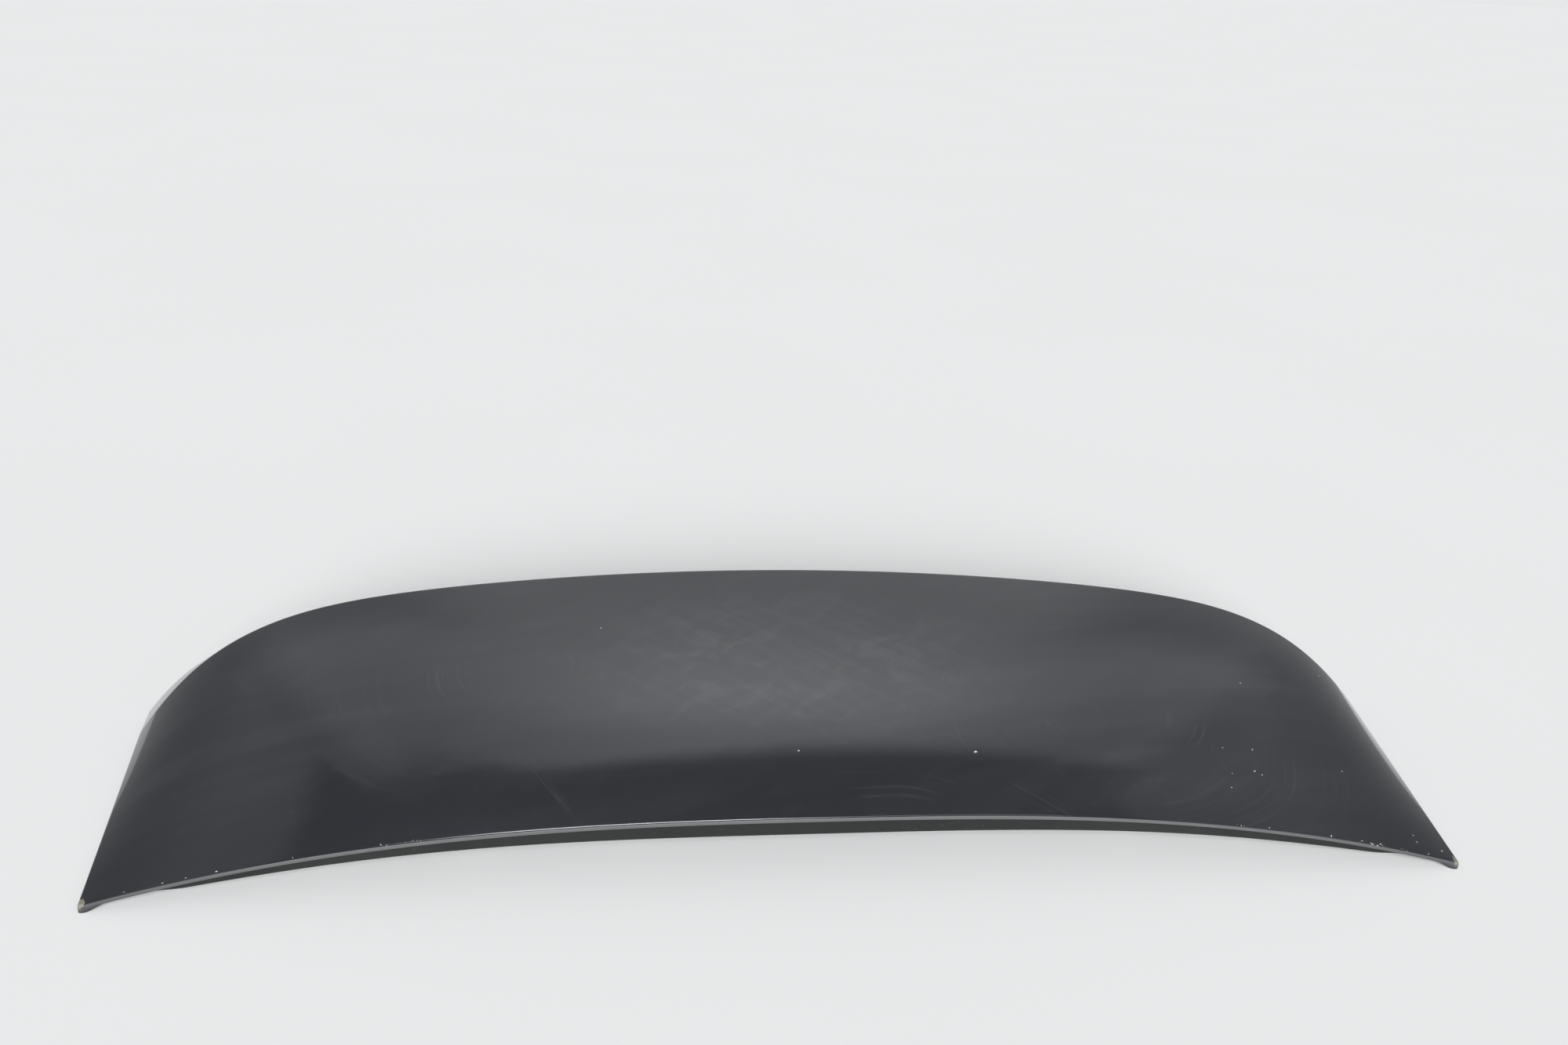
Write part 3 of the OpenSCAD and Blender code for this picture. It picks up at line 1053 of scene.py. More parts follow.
@dataclass
class OuterSkin:
    """The gloss skin: crowned panel, rounded lip, ears, tail crease and flange."""

    form: SkinForm = FORM
    stations: int = 241
    rows: int = 64
    nose_steps: int = 9
    crease_radius: float = 2.2
    edge_radius: float = 0.9
    hem_radius: float = 1.2
    tip_blend: float = 0.026
    tip_rows: float = 0.06
    crease_row: float = 0.985
    lip_row: float = 0.075
    lip_next: float = 0.066
    lip_rows: int = 12
    nose_turn: float = 2.0
    back_fade: tuple = (9.0, 6.0)
    lip_wear_reach: float = 4.0
    lip_wear_least: float = 0.45
    lip_wear_from: float = 0.35
    lip_wear_run: float = 0.5
    # Edges of the lip's painted reflection band, in millimetres below the lip's top and behind the front
    # edge, with their fades.
    reflection_below: float = 0.5
    reflection_below_fade: float = 0.8
    reflection_behind: float = 0.5
    reflection_behind_fade: float = 1.2
    tip_wear_reach: float = 9.0
    lacquer: GlossLacquer = GlossLacquer()

    def run_values(self) -> Array:
        """Values of t from just ahead of the crease to the front edge."""
        panel = np.linspace(self.crease_row, self.lip_row, self.rows - self.lip_rows)
        return np.concatenate([panel, np.linspace(self.lip_next, 0.0, self.lip_rows)])

    def inner_depth(self, t: Array) -> Array:
        """Depth of the skin's inner face at t."""
        form = self.form
        return lerp(form.lip, form.wall, smooth((t - form.row(form.lip_run)) / form.row(form.lip_fade)))

    def faces(self) -> tuple[Array, Array, Array, Array]:
        """The outer and the inner face on one grid.

        Returns:
            The two faces, and u and t for each of the grid's points.
        """
        form = self.form
        u = crowded(self.stations)
        run = self.run_values()
        grid_u, grid_t = np.meshgrid(u, run, indexing="ij")
        outer_rows = form.point(grid_u, grid_t)
        inner_rows = form.under(grid_u, grid_t, self.inner_depth(grid_t))
        foot = form.foot(u)[:, None]
        end = form.flange_end(u)
        crease = form.point(u, 1.0)
        back, out = form.back(u, 1.0), form.out(u, 1.0)
        inner_end = end - form.wall * unit(lerp(back, out, foot))
        inner_crease = form.under(u, 1.0, np.full_like(u, form.wall)) - form.wall * (1 - foot) * back
        radii = [0.0, self.edge_radius, self.crease_radius, 0.0]
        outer_rear = np.stack([lerp(end, inner_end, 0.35), end, crease, outer_rows[:, 0]], 1)
        inner_rear = np.stack([lerp(end, inner_end, 0.65), inner_end, inner_crease, inner_rows[:, 0]], 1)
        outer_rear, inner_rear = (fillet(corners, radii, 5) for corners in (outer_rear, inner_rear))
        turns = np.linspace(0, 90, self.nose_steps + 1)[1:] - self.nose_turn
        outer_nose = np.stack([form.nose(u, a) for a in turns], 1)
        inner_nose = np.stack([form.nose(u, 180 - a) for a in turns], 1)
        outer = np.concatenate([outer_rear[:, :-1], outer_rows, outer_nose], 1)
        inner = np.concatenate([inner_rear[:, :-1], inner_rows, inner_nose], 1)
        lead = outer_rear.shape[1] - 1
        all_t = np.concatenate([np.full(lead, 1.0), run, np.zeros(len(turns))])
        return outer, inner, u, all_t

    def hemmed(self, outer: Array, inner: Array, u: Array, run: Array) -> tuple[Array, Array]:
        """Puts the side hems on the floor, blends the lip into them and rounds their outer edges.

        Args:
            outer: The outer face.
            inner: The inner face.
            u: The stations.
            run: The values of t.

        Returns:
            Both faces with their hems.
        """
        hem = np.abs(u) > self.form.hem_from
        inner[hem] = outer[hem] * (1, 1, 0)
        close = smooth(1 - (self.form.hem_from - np.abs(u)) / self.tip_blend)
        share = close[:, None] * smooth(1 - run / self.tip_rows)
        inner = lerp(inner, outer * (1, 1, 0), share[..., None])
        share = self.hem_radius / (self.form.tip_span / 2)
        turn = np.clip((np.abs(u) - 1 + share) / share, 0, 1)
        drop = self.hem_radius * (1 - np.sqrt(1 - turn**2))
        outer[..., 2] -= drop[:, None]
        inner[hem, :, 2] += drop[hem, None]
        return outer, inner

    def outer_face(self, places: Array) -> Array:
        """1 on the lacquered side and 0 on the back of the moulding.

        Args:
            places: The vertices' places in millimetres.

        Returns:
            A number for each vertex.
        """
        form = self.form
        share = np.clip(np.abs(places[:, 0]) / form.half_width(0.5), 0, 1)
        run_share = np.clip(form.front_gap(places) / form.mean_run, 0, 1)
        top = form.point(np.sign(places[:, 0]) * share, run_share)[:, 2]
        depth, fade = self.back_fade
        return smooth((places[:, 2] - top + depth) / fade)

    def lip_edge(self, places: Array) -> Array:
        """1 along the lip's upper crease, more towards the ends of the lip.

        Args:
            places: The vertices' places in millimetres.

        Returns:
            A number for each vertex.
        """
        close = smooth(1 - np.abs(self.form.front_gap(places)) / self.lip_wear_reach)
        aside = np.abs(places[:, 0]) / self.form.tip_span * 2
        outward = smooth((aside - self.lip_wear_from) / self.lip_wear_run)
        return close * lerp(self.lip_wear_least, 1.0, outward)

    def lip_round(self, places: Array) -> Array:
        """1 on the lower half of the rounded lip, where the lacquer has a painted reflection and is rougher.

        Args:
            places: The vertices' places in millimetres.

        Returns:
            A number for each vertex.
        """
        share = np.clip(places[:, 0] / (self.form.tip_span / 2), -1, 1)
        drop = self.form.point(share, 0.0)[:, 2] - places[:, 2]
        low = smooth((drop - self.reflection_below) / self.reflection_below_fade)
        return low * smooth((self.reflection_behind - self.form.front_gap(places)) / self.reflection_behind_fade)

    def tip_edge(self, places: Array) -> Array:
        """1 at the two front tips."""
        aside = self.form.tip_span / 2 - np.abs(places[:, 0])
        return smooth(1 - np.hypot(aside, self.form.front_gap(places)) / self.tip_wear_reach)

    def build(self, shop: Workshop) -> None:
        """Makes and dresses the skin.

        Args:
            shop: Dresses the pieces.
        """
        outer, inner, u, run = self.faces()
        outer, inner = self.hemmed(outer, inner, u, run)
        skin = loft("outer_skin_gloss", outer, inner)
        for value in (self.outer_face, self.lip_edge, self.lip_round, self.tip_edge):
            write_attribute(skin, value.__name__, value)
        shop.place(skin, self.lacquer, Slot.SKIN, "outer_skin")


@dataclass
class PaintChips:
    """Stone chips: thin, ragged flakes where the pale primer shows."""

    form: SkinForm = FORM
    lift: float = 0.03
    primer: BarePaint = BarePaint()
    panel: tuple = (
        (-0.30, 0.72, 0.7), (0.26, 0.20, 1.3), (-0.01, 0.21, 0.7), (0.66, 0.26, 0.6), (0.71, 0.27, 0.8),
        (0.92, 0.86, 0.7), (0.74, 0.56, 0.7), (0.70, 0.19, 0.9), (0.71, 0.18, 0.7), (0.66, 0.17, 0.5),
        (0.65, 0.12, 0.5), (0.86, 0.28, 0.6), (0.94, 0.08, 0.7), (0.94, 0.05, 0.6), (0.98, 0.04, 0.9),
    )
    lip: tuple = (
        (-0.94, 0.7), (-0.89, 0.9), (-0.86, 0.6), (-0.82, 0.8), (-0.72, 0.5),
        (0.69, 0.5), (0.79, 0.8), (0.84, 0.6), (0.87, 0.9), (0.95, 0.7),
    )
    lip_row: float = 0.002
    corners: int = 8
    thickness: float = 1.5
    last_u: float = 0.9985

    def flake(self, u: float, t: float, radius: float) -> Array:
        """The corners of one flake, round its middle point.

        Args:
            u: Its place along the span.
            t: Its place from front to tail.
            radius: Its mean radius in millimetres.

        Returns:
            The middle point and then the corners.
        """
        count = self.corners
        turn = np.arange(count) / count * 2 * math.pi
        ragged = [0.45 + 1.7 * abs(noise.noise(Vector((u * 97, t * 89, k * 1.7)))) for k in range(count)]
        reach = radius * np.array(ragged)
        corner_u = u + reach * np.cos(turn) * 1.3 / self.form.half_width(t)
        corner_t = np.maximum(t + self.form.row(1.0) * reach * np.sin(turn), 0.0)
        all_u = np.clip(np.append(u, corner_u), -self.last_u, self.last_u)
        all_t = np.append(t, corner_t)
        return self.form.under(all_u, all_t, np.full(count + 1, -self.lift))

    def build(self, shop: Workshop) -> None:
        """Makes and dresses all the chips as one piece.

        Args:
            shop: Dresses the pieces.
        """
        points, faces = [], []
        count = self.corners
        layer = count + 1
        along_lip = tuple((u, self.lip_row, radius) for u, radius in self.lip)
        for u, t, radius in self.panel + along_lip:
            top = self.flake(u, t, radius)
            upper = layer * len(points)
            lower = upper + layer
            points += [top, top - self.lift * self.thickness * self.form.out(u, t)]
            for k in range(count):
                a, b = 1 + k, 1 + (k + 1) % count
                faces.append([upper, upper + a, upper + b])
                faces.append([lower, lower + b, lower + a])
                faces.append([upper + a, lower + a, lower + b, upper + b])
        shop.place(make_mesh("stone_chips", np.concatenate(points), faces), self.primer, Slot.SKIN)


@dataclass
class InnerShell:
    """The matt moulding under the skin: front wall, seat, pan, ribs and bosses."""

    form: SkinForm = FORM
    wall: float = 2.5
    bond: float = 0.3
    wall_inset: float = 3.0
    wall_drop: float = 22.5
    taper_power: float = 4.0
    seat_run: float = 48.0
    pan_step: float = 24.0
    pan_depth: float = 13.0
    reach: float = 0.93
    rib_height: float = 9.0
    rib_wall: float = 2.2
    rib_pitch: float = 130.0
    pan_last: float = 0.9
    pan_rows: int = 26
    edge_row: float = 0.93
    last_row: float = 0.965
    seat_spare: float = 0.8
    side_fade: float = 0.06
    stations: int = 181
    plastic: MouldedPlastic = MouldedPlastic(
        "shell_plastic", rgba(0.011, 0.012, 0.012), rgba(0.022, 0.023, 0.023), roughness=0.55, specular=0.3
    )

    @property
    def seat_least(self) -> float:
        """The seat's least depth below the skin's outer face."""
        return self.form.lip + self.bond + self.wall + self.seat_spare

    def edge_fade(self, u: Array) -> Array:
        """0 at the shell's sides and 1 inside them."""
        return smooth((self.reach - np.abs(u)) / self.side_fade)

    def seat(self, u: Array) -> Array:
        """Depth of the seat's outer face."""
        deep = self.form.lip + self.wall_drop * (1 - np.abs(u) ** self.taper_power)
        return lerp(self.seat_least, np.maximum(deep, self.seat_least), self.edge_fade(u))

    def pan(self, u: Array) -> Array:
        """Depth of the pan's outer face."""
        return lerp(self.form.wall + self.bond + self.wall, self.pan_depth, self.edge_fade(u))

    def rows(self) -> tuple[float, float, float]:
        """Values of t at the front wall, the seat's end and the pan's start.

        Returns:
            The three values.
        """
        form = self.form
        seat_end = self.wall_inset + self.seat_run
        return form.row(self.wall_inset), form.row(seat_end), form.row(seat_end + self.pan_step)

    def sheet(self) -> bpy.types.Object:
        """Makes the wall, seat, pan and bonding edges as one moulding.

        Returns:
            The moulding without its ribs.
        """
        form = self.form
        wall_row, seat_row, pan_row = self.rows()
        u = crowded(self.stations, self.reach)
        bonded = np.full_like(u, form.wall + self.bond)
        top = np.full_like(u, form.lip + self.bond)
        pan_rows = np.linspace(pan_row, self.pan_last, self.pan_rows)
        inset = form.row(self.wall)
        lower = [(wall_row, top), (wall_row, self.seat(u)), (seat_row, self.seat(u))]
        lower += [(t, self.pan(u)) for t in pan_rows]
        lower += [(self.edge_row, bonded + self.wall), (self.last_row, bonded + self.wall)]
        upper = [(wall_row + inset, top), (wall_row + inset, self.seat(u) - self.wall)]
        upper += [(seat_row, self.seat(u) - self.wall)]
        upper += [(t, self.pan(u) - self.wall) for t in pan_rows]
        upper += [(self.edge_row, bonded), (self.last_row, bonded)]
        radii = [0.0, 1.8, 5.0, 5.0] + [0.0] * (len(pan_rows) - 2) + [4.0, 4.0, 0.0]
        faces = []
        for side in (lower, upper):
            corners = np.stack([form.under(u, t, depth) for t, depth in side], 1)
            faces.append(fillet(corners, radii, 4))
        return loft("inner_shell_moulding", *faces)

    def rib_places(self) -> Array:
        """Places of the ribs along the span."""
        count = 2 * math.floor(self.reach * 0.88 * self.form.tip_span / 2 / self.rib_pitch) + 1
        return (np.arange(count) - (count - 1) / 2) * self.rib_pitch

    def rib(self, x: float) -> bpy.types.Object:
        """Makes one rib that hangs below the pan.

        Args:
            x: Its place along the span.

        Returns:
            The rib.
        """
        form = self.form
        _, _, pan_row = self.rows()
        share = np.linspace(0, 1, 33)
        t = lerp(pan_row + 0.02, 0.88, share)
        base = np.full_like(t, self.pan_depth - self.wall / 2)
        tip = self.pan_depth + 0.4 + self.rib_height * 0.9 * np.sin(math.pi * share)

        def line(offset: float, depth: Array) -> Array:
            """Points beside the rib's middle plane at a depth."""
            return form.under((x + offset) / form.half_width(t), t, depth)

        half = self.rib_wall / 2
        sides = []
        for sign in (-1, 1):
            corners = [line(sign * half, base), line(sign * half * 0.8, tip), line(sign * half * 0.1, tip)]
            sides.append(fillet(np.stack(corners, 1), [0, 0.5, 0], 3))
        return loft(f"rib_{round(x)}".replace("-", "m"), sides[0], sides[1])

    def build(self, shop: Workshop) -> None:
        """Makes and dresses the moulding with its ribs.

        Args:
            shop: Dresses the pieces.
        """
        parts = [self.sheet()] + [self.rib(x) for x in self.rib_places()]
        shell = join("inner_shell_moulding", parts)
        shop.place(shell, self.plastic, Slot.SHELL, "inner_shell")


def join(name: str, parts: Sequence[bpy.types.Object]) -> bpy.types.Object:
    """Joins mesh objects into the first one and names it.

    Args:
        name: The joined object's name.
        parts: The objects, of which all but the first go.

    Returns:
        The joined object.
    """
    work = bmesh.new()
    for part in parts:
        work.from_mesh(part.data)
    first = parts[0]
    work.to_mesh(first.data)
    work.free()
    for part in parts[1:]:
        mesh = part.data
        bpy.data.objects.remove(part)
        bpy.data.meshes.remove(mesh)
    first.name = name
    return first


@dataclass
class Fixings:
    """Bosses, collared studs, foam washers and locating pegs."""

    shell: InnerShell
    form: SkinForm = FORM
    inner_pitch: float = 300.0
    outer_pitch: float = 800.0
    peg_pitch: float = 560.0
    stud_back: float = 32.0
    stud_radius: float = 3.0
    thread_pitch: float = 1.0
    stud_free: float = 18.0
    stud_taper: float = 1.1
    stud_grip: float = 7.0
    grip_radius: float = 2.5
    socket_gap: float = 0.05
    socket_end: float = 0.5
    collar_flats: float = 10.0
    collar: float = 3.0
    boss_radius: float = 13.0
    boss_drop: float = 6.0
    boss_rise: float = 2.5
    washer_radius: float = 12.5
    washer: float = 5.0
    washer_gap: float = 0.5
    washer_shrink: float = 0.12
    washer_ripple: float = 0.10
    peg_radius: float = 4.0
    peg_free: float = 14.0
    peg_flange_radius: float = 8.0
    peg_flange: float = 2.0
    chamfer: float = 0.4
    thread_share: float = 0.61
    thread_lead: float = 1.5
    thread_steps: int = 8
    steel: ZincSteel = ZincSteel()
    foam: Foam = Foam("washer_foam", rgba(0.018, 0.018, 0.019), rgba(0.050, 0.050, 0.052))
    nylon: MouldedPlastic = MouldedPlastic(
        "peg_nylon",
        rgba(0.66, 0.64, 0.57),
        rgba(0.72, 0.71, 0.66),
        roughness=0.38,
        grain_scale=1400.0,
        grain_depth=1e-5,
        subsurface=0.25,
    )

    def face(self, x: float) -> Array:
        """The middle of the boss face at x.

        Args:
            x: The boss's place along the span.

        Returns:
            The point, in millimetres.
        """
        t = self.form.row(self.shell.wall_inset + self.stud_back)
        u = np.array(x / self.form.half_width(t))
        seat = self.form.under(u, t, self.shell.seat(u))
        return np.array([x, seat[1], seat[2] - self.boss_drop])

    def boss(self, x: float, socket_radius: float) -> bpy.types.Object:
        """Makes a moulded boss with its blind socket.

        Args:
            x: Its place along the span.
            socket_radius: Radius of what is held in it.

        Returns:
            The boss.
        """
        top = self.boss_drop + self.shell.wall + self.boss_rise
        hole = socket_radius + self.socket_gap
        r = self.boss_radius
        lead = self.chamfer
        profile = [(AXIS, self.stud_grip), (hole, self.stud_grip), (hole, lead), (hole + lead, 0.0)]
        profile += [(r - 0.9, 0.0), (r - 0.26, 0.26), (r, 0.9), (r, top - 0.5), (r - 0.5, top), (AXIS, top)]
        return turned("boss", self.face(x), round_profile(profile, 72), 50.0)

    def hexagon(self, turn: Array) -> Array:
        """Radii of the collar's flats."""
        part = (turn + math.pi / 6) % (math.pi / 3) - math.pi / 6
        return self.collar_flats / 2 / np.cos(part)

    def stud(self, x: float, name: str) -> bpy.types.Object:
        """Makes a stud: grip, hexagonal collar and a cut thread.

        Args:
            x: Its place along the span.
            name: The piece's name.

        Returns:
            The stud.
        """
        count = 72
        turn = np.arange(count) / count * 2 * math.pi
        flats = self.hexagon(turn)
        rows = [(self.stud_grip - self.socket_end, np.full(count, r)) for r in (AXIS, self.grip_radius)]
        rows += [(0.0, np.full(count, self.grip_radius))]
        for height, limit in ((0.0, 4.9), (-0.35, 5.5), (0.35 - self.collar, 5.5), (-self.collar, 4.9)):
            rows.append((height, np.minimum(flats, limit)))
        rows.append((-self.collar, np.full(count, self.stud_radius)))
        depth = self.thread_share * self.thread_pitch
        steps = int(self.stud_free / self.thread_pitch * self.thread_steps)
        for k in range(1, steps + 1):
            drop = self.stud_free * k / steps
            phase = (drop / self.thread_pitch + turn / (2 * math.pi)) % 1.0
            crest = np.clip(1.25 - np.abs(phase - 0.5) * 2.9, 0, 1)
            cut = depth * min(1.0, drop / self.thread_lead)
            radius = self.stud_radius - cut * (1 - crest)
            point = self.stud_radius - self.stud_taper + (self.stud_free - drop)
            rows.append((-self.collar - drop, np.minimum(radius, point)))
        rows.append((-self.collar - self.stud_free, np.full(count, AXIS)))
        return turned(name, self.face(x), rows, 60.0)

    def foam_washer(self, x: float, name: str) -> bpy.types.Object:
        """Makes a die-cut foam ring with slightly uneven walls.

        Args:
            x: Its place along the span.
            name: The piece's name.

        Returns:
            The washer.
        """
        count = 96
        turn = np.arange(count) / count * 2 * math.pi
        hole = self.collar_flats / math.cos(math.pi / 6) / 2 + self.washer_gap
        rows = []
        rim, thick, edge = self.washer_radius, self.washer, self.chamfer
        profile = [(hole, -0.3), (hole + 0.3, 0.0), (rim - 0.35, 0.0), (rim, -edge)]
        profile += [(rim, lerp(-edge, edge - thick, k)) for k in (0.2, 0.4, 0.6, 0.8)]
        profile += [(rim, edge - thick), (rim - 0.35, -thick), (hole + 0.3, -thick)]
        profile += [(hole, 0.3 - thick), (hole, -0.3)]
        for radius, height in profile:
            places = [Vector((math.cos(a) * 4 + x, math.sin(a) * 4, height * 0.8)) for a in turn]
            ripple = np.array([noise.noise(place) for place in places]) * (radius > hole + 1)
            rows.append((height, radius - self.washer_shrink + self.washer_ripple * ripple))
        return turned(name, self.face(x), rows, 50.0)

    def peg(self, x: float, name: str) -> bpy.types.Object:
        """Makes a pressed-in locating peg with a flange.

        Args:
            x: Its place along the span.
            name: The piece's name.

        Returns:
            The peg.
        """
        r, flange, thick = self.peg_radius, self.peg_flange_radius, self.peg_flange
        top, free, edge = self.stud_grip - self.socket_end, self.peg_free, self.chamfer
        profile = [(AXIS, top), (r - edge, top), (r, top - edge), (r, 0.0)]
        profile += [(flange - edge, 0.0), (flange, -edge), (flange, edge - thick), (flange - edge, -thick)]
        profile += [(r + 0.5, -thick), (r, -thick - 0.5), (r, r - free + 0.4), (r - 0.25, r - free - 0.2)]
        profile += [(r / 2 + 0.3, -free + 0.25), (r / 2 - 0.3, -free), (AXIS, -free)]
        return turned(name, self.face(x), round_profile(profile, 72), 32.0)

    def build(self, shop: Workshop) -> None:
        """Makes and dresses every fixing and its boss.

        Args:
            shop: Dresses the pieces.
        """
        bosses = []
        for place, pitch in (("outer", self.outer_pitch), ("inner", self.inner_pitch)):
            for side in Side:
                x = side.value * pitch / 2
                tail = f"{place}_{side.name.lower()}"
                bosses.append(self.boss(x, self.grip_radius))
                shop.place(self.stud(x, f"threaded_stud_{tail}"), self.steel, Slot.STEEL, f"stud_{tail}")
                washer = self.foam_washer(x, f"die_cut_washer_{tail}")
                shop.place(washer, self.foam, Slot.FOAM, f"foam_washer_{tail}")
        for side in Side:
            x = side.value * self.peg_pitch / 2
            tail = side.name.lower()
            bosses.append(self.boss(x, self.peg_radius))
            shop.place(self.peg(x, f"nylon_peg_{tail}"), self.nylon, Slot.PEG, f"locating_peg_{tail}")
        shop.place(join("fixing_bosses", bosses), self.shell.plastic, Slot.SHELL)


@dataclass
class SealAndTape:
    """The foam seal on the seat and the tape inside the ears."""

    shell: InnerShell
    form: SkinForm = FORM
    seal_back: float = 6.0
    seal_width: float = 5.0
    seal_height: float = 3.0
    seal_reach: float = 0.8
    glue: float = 0.35
    tape_width: float = 12.0
    tape_thickness: float = 1.2
    tape_edge: float = 0.985
    foam: Foam = Foam("seal_foam", rgba(0.018, 0.018, 0.019), rgba(0.046, 0.046, 0.048))
    tape: Foam = Foam(
        "tape_foam", rgba(0.11, 0.11, 0.115), rgba(0.19, 0.19, 0.195), pore_scale=900.0, pore_depth=8e-5
    )

    def seal(self) -> bpy.types.Object:
        """Makes the foam strip behind the front wall.

        Returns:
            The strip.
        """
        form = self.form
        u = crowded(161, self.seal_reach)
        start = form.row(self.shell.wall_inset + self.seal_back)
        end = start + form.row(self.seal_width)
        low = self.shell.seat(u) + self.glue
        high = low + self.seal_height
        sides = []
        for t, other in ((start, end), (end, start)):
            middle = lerp(form.under(u, t, high), form.under(u, other, high), 0.45)
            corners = np.stack([form.under(u, t, low), form.under(u, t, high), middle], 1)
            sides.append(fillet(corners, [0, 1.3, 0], 4))
        return loft("front_foam_seal", *sides)

    def ear_tape(self, side: Side) -> bpy.types.Object:
        """Makes the strip of tape inside one ear.

        Args:
            side: Which ear it is in.

        Returns:
            The strip.
        """
        form = self.form
        t = np.linspace(0.2, 0.8, 65)
        low = np.full_like(t, form.wall + self.glue)
        high = low + self.tape_thickness
        half = self.tape_width / form.half_width(t) / 2
        centre = self.tape_edge - half
        sides = []
        for sign in (-1, 1):
            corners = [
                form.under(side.value * (centre + sign * half * share), t, depth)
                for share, depth in ((1.0, low), (0.985, high), (0.1, high))
            ]
            sides.append(fillet(np.stack(corners, 1), [0, 0.3, 0], 3))
        return loft(f"ear_foam_tape_{side.name.lower()}", *sides)

    def build(self, shop: Workshop) -> None:
        """Makes and dresses the seal and both tapes.

        Args:
            shop: Dresses the pieces.
        """
        shop.place(self.seal(), self.foam, Slot.FOAM, "front_seal")
        for side in Side:
            shop.place(self.ear_tape(side), self.tape, Slot.TAPE, f"ear_tape_{side.name.lower()}")


@dataclass(frozen=True)
class Card:
    """A flat reflector that only mirror-like rays see, given in metres."""

    name: str
    corners: tuple
    levels: Callable[[Graph, dict], Number]


@dataclass
class Studio:
    """Floor, reflectors, sun, sky and camera."""

    camera_place: tuple = (-0.154032, -1.00325, 0.719703)
    camera_right: tuple = (0.992581, -0.108882, 0.054106)
    camera_up: tuple = (-0.003014, 0.422842, 0.906198)
    lens: float = 29.442
    floor_tone: tuple = rgba(0.82, 0.835, 0.84)
    sky: float = 0.28
    overhead: float = 0.40
    front_light: float = 4.8
    front_elevation: float = 28.0
    front_spread: float = 34.0
    front_box: float = 3.4
    strip_light: float = 20.0
    strip_dim: float = 3.0
    card_tint: tuple = rgba(0.985, 1.0, 1.02)
    seen_sky: tuple = rgba(0.79, 0.805, 0.81)
    floor_shade: float = 0.975
    floor_half: float = 30.0
    back_left: tuple = (-0.6865, 0.2241)
    back_right: tuple = (0.6643, 0.1490)
    sides_near: float = -0.9
    side_splay: float = 0.1
    cards_high: float = 1.25
    left_top: float = 0.62
    right_top: float = 0.84
    strip_x: tuple = (-1.0, 0.9)
    strip_y: tuple = (-0.45, 0.05)
    strip_height: float = 1.5
    front_half: float = 1.4
    front_foot: tuple = (-2.3, 0.75)
    front_head: tuple = (-2.0, 1.95)

    def camera(self) -> None:
        """Puts the camera where the photograph was taken from."""
        data = bpy.data.cameras.new("photo_camera")
        data.sensor_width = 36.0
        data.lens = self.lens
        data.clip_start, data.clip_end = 0.01, 100.0
        made = linked("photo_camera", data)
        right, up = Vector(self.camera_right), Vector(self.camera_up)
        turn = Matrix((right, up, right.cross(up))).transposed()
        made.matrix_world = Matrix.Translation(self.camera_place) @ turn.to_4x4()
        bpy.context.scene.camera = made

    def plane(self, name: str, corners: Sequence[Sequence[float]]) -> bpy.types.Object:
        """Makes a staged four-cornered plane.

        Args:
            name: The object's name.
            corners: Its corners in metres, in order round it.

        Returns:
            The plane.
        """
        mesh = bpy.data.meshes.new(name)
        mesh.from_pydata([tuple(c) for c in corners], [], [[0, 1, 2, 3]])
        made = linked(name, mesh)
        return made

    def floor(self) -> None:
        """Makes the pale floor, which is clear when seen from below."""
        far = self.floor_half
        made = self.plane("floor", [(-far, -far, 0), (far, -far, 0), (far, far, 0), (-far, far, 0)])
        material, graph = blank("pale_floor")
        darker = rgba(*(self.floor_shade * c for c in self.floor_tone[:3]))
        tone = graph.mix(graph.noise(graph.place(), 1.4, 2.0), self.floor_tone, darker)
        matt = graph.node("ShaderNodeBsdfDiffuse", None, Color=tone)
        clear = graph.node("ShaderNodeBsdfTransparent")
        facing = graph.node("ShaderNodeNewGeometry").outputs["Backfacing"]
        both = graph.node("ShaderNodeMixShader")
        graph.feed(both.inputs[0], facing)
        graph.feed(both.inputs[1], matt.outputs[0])
        graph.feed(both.inputs[2], clear.outputs[0])
        graph.end(both.outputs[0])
        made.data.materials.append(material)

    def card(self, card: Card) -> None:
        """Makes one reflector.

        Args:
            card: Its name, corners and levels.
        """
        made = self.plane(card.name, card.corners)
        material, graph = blank(card.name)
        axes = graph.node("ShaderNodeSeparateXYZ", None, Vector=graph.place()).outputs
        level = card.levels(graph, {"x": axes[0], "y": axes[1], "z": axes[2]})
        light = graph.node("ShaderNodeEmission", None, Color=self.card_tint, Strength=level)
        graph.end(light.outputs[0])
        made.data.materials.append(material)
        for ray in ("camera", "diffuse", "shadow", "transmission", "volume_scatter"):
            setattr(made, f"visible_{ray}", False)

    def back_levels(self, graph: Graph, axis: dict) -> Socket:
        """Light of the back reflector: brightest in its upper middle, dim above a sagging top edge.

        Args:
            graph: The reflector's tree.
            axis: Its coordinates, as sockets by letter.

        Returns:
            The level's socket.
        """
        aside = graph.math("ABSOLUTE", axis["x"])
        middle = graph.ramp(aside, 0.20, 0.50, 1.0, 0.0)
        base = graph.ramp(graph.most(middle, graph.ramp(axis["z"], 0.12, 0.28)), 0.0, 1.0, 0.60, 1.0)
        base = graph.times(base, graph.ramp(aside, 0.54, 0.66, 1.0, 0.70))
        rise = graph.ramp(axis["z"], 0.12, 0.38, 0.0, 1.1)
        rise = graph.times(rise, graph.ramp(axis["z"], 0.38, 0.52, 1.0, 0.55))
        glow = graph.times(rise, graph.ramp(aside, 0.0, 0.5, 1.0, 0.0))
        off = graph.less(axis["x"], 0.16)
        top = graph.plus(0.537, graph.times(graph.times(off, off), 0.74))
        blur = graph.ramp(axis["x"], -0.50, -0.28, -0.32, -0.05)
        dark = graph.ramp(graph.less(axis["z"], top), blur, 0.03)
        kept = graph.times(graph.plus(base, glow), graph.less(1.0, dark))
        return graph.plus(kept, graph.times(dark, self.overhead))

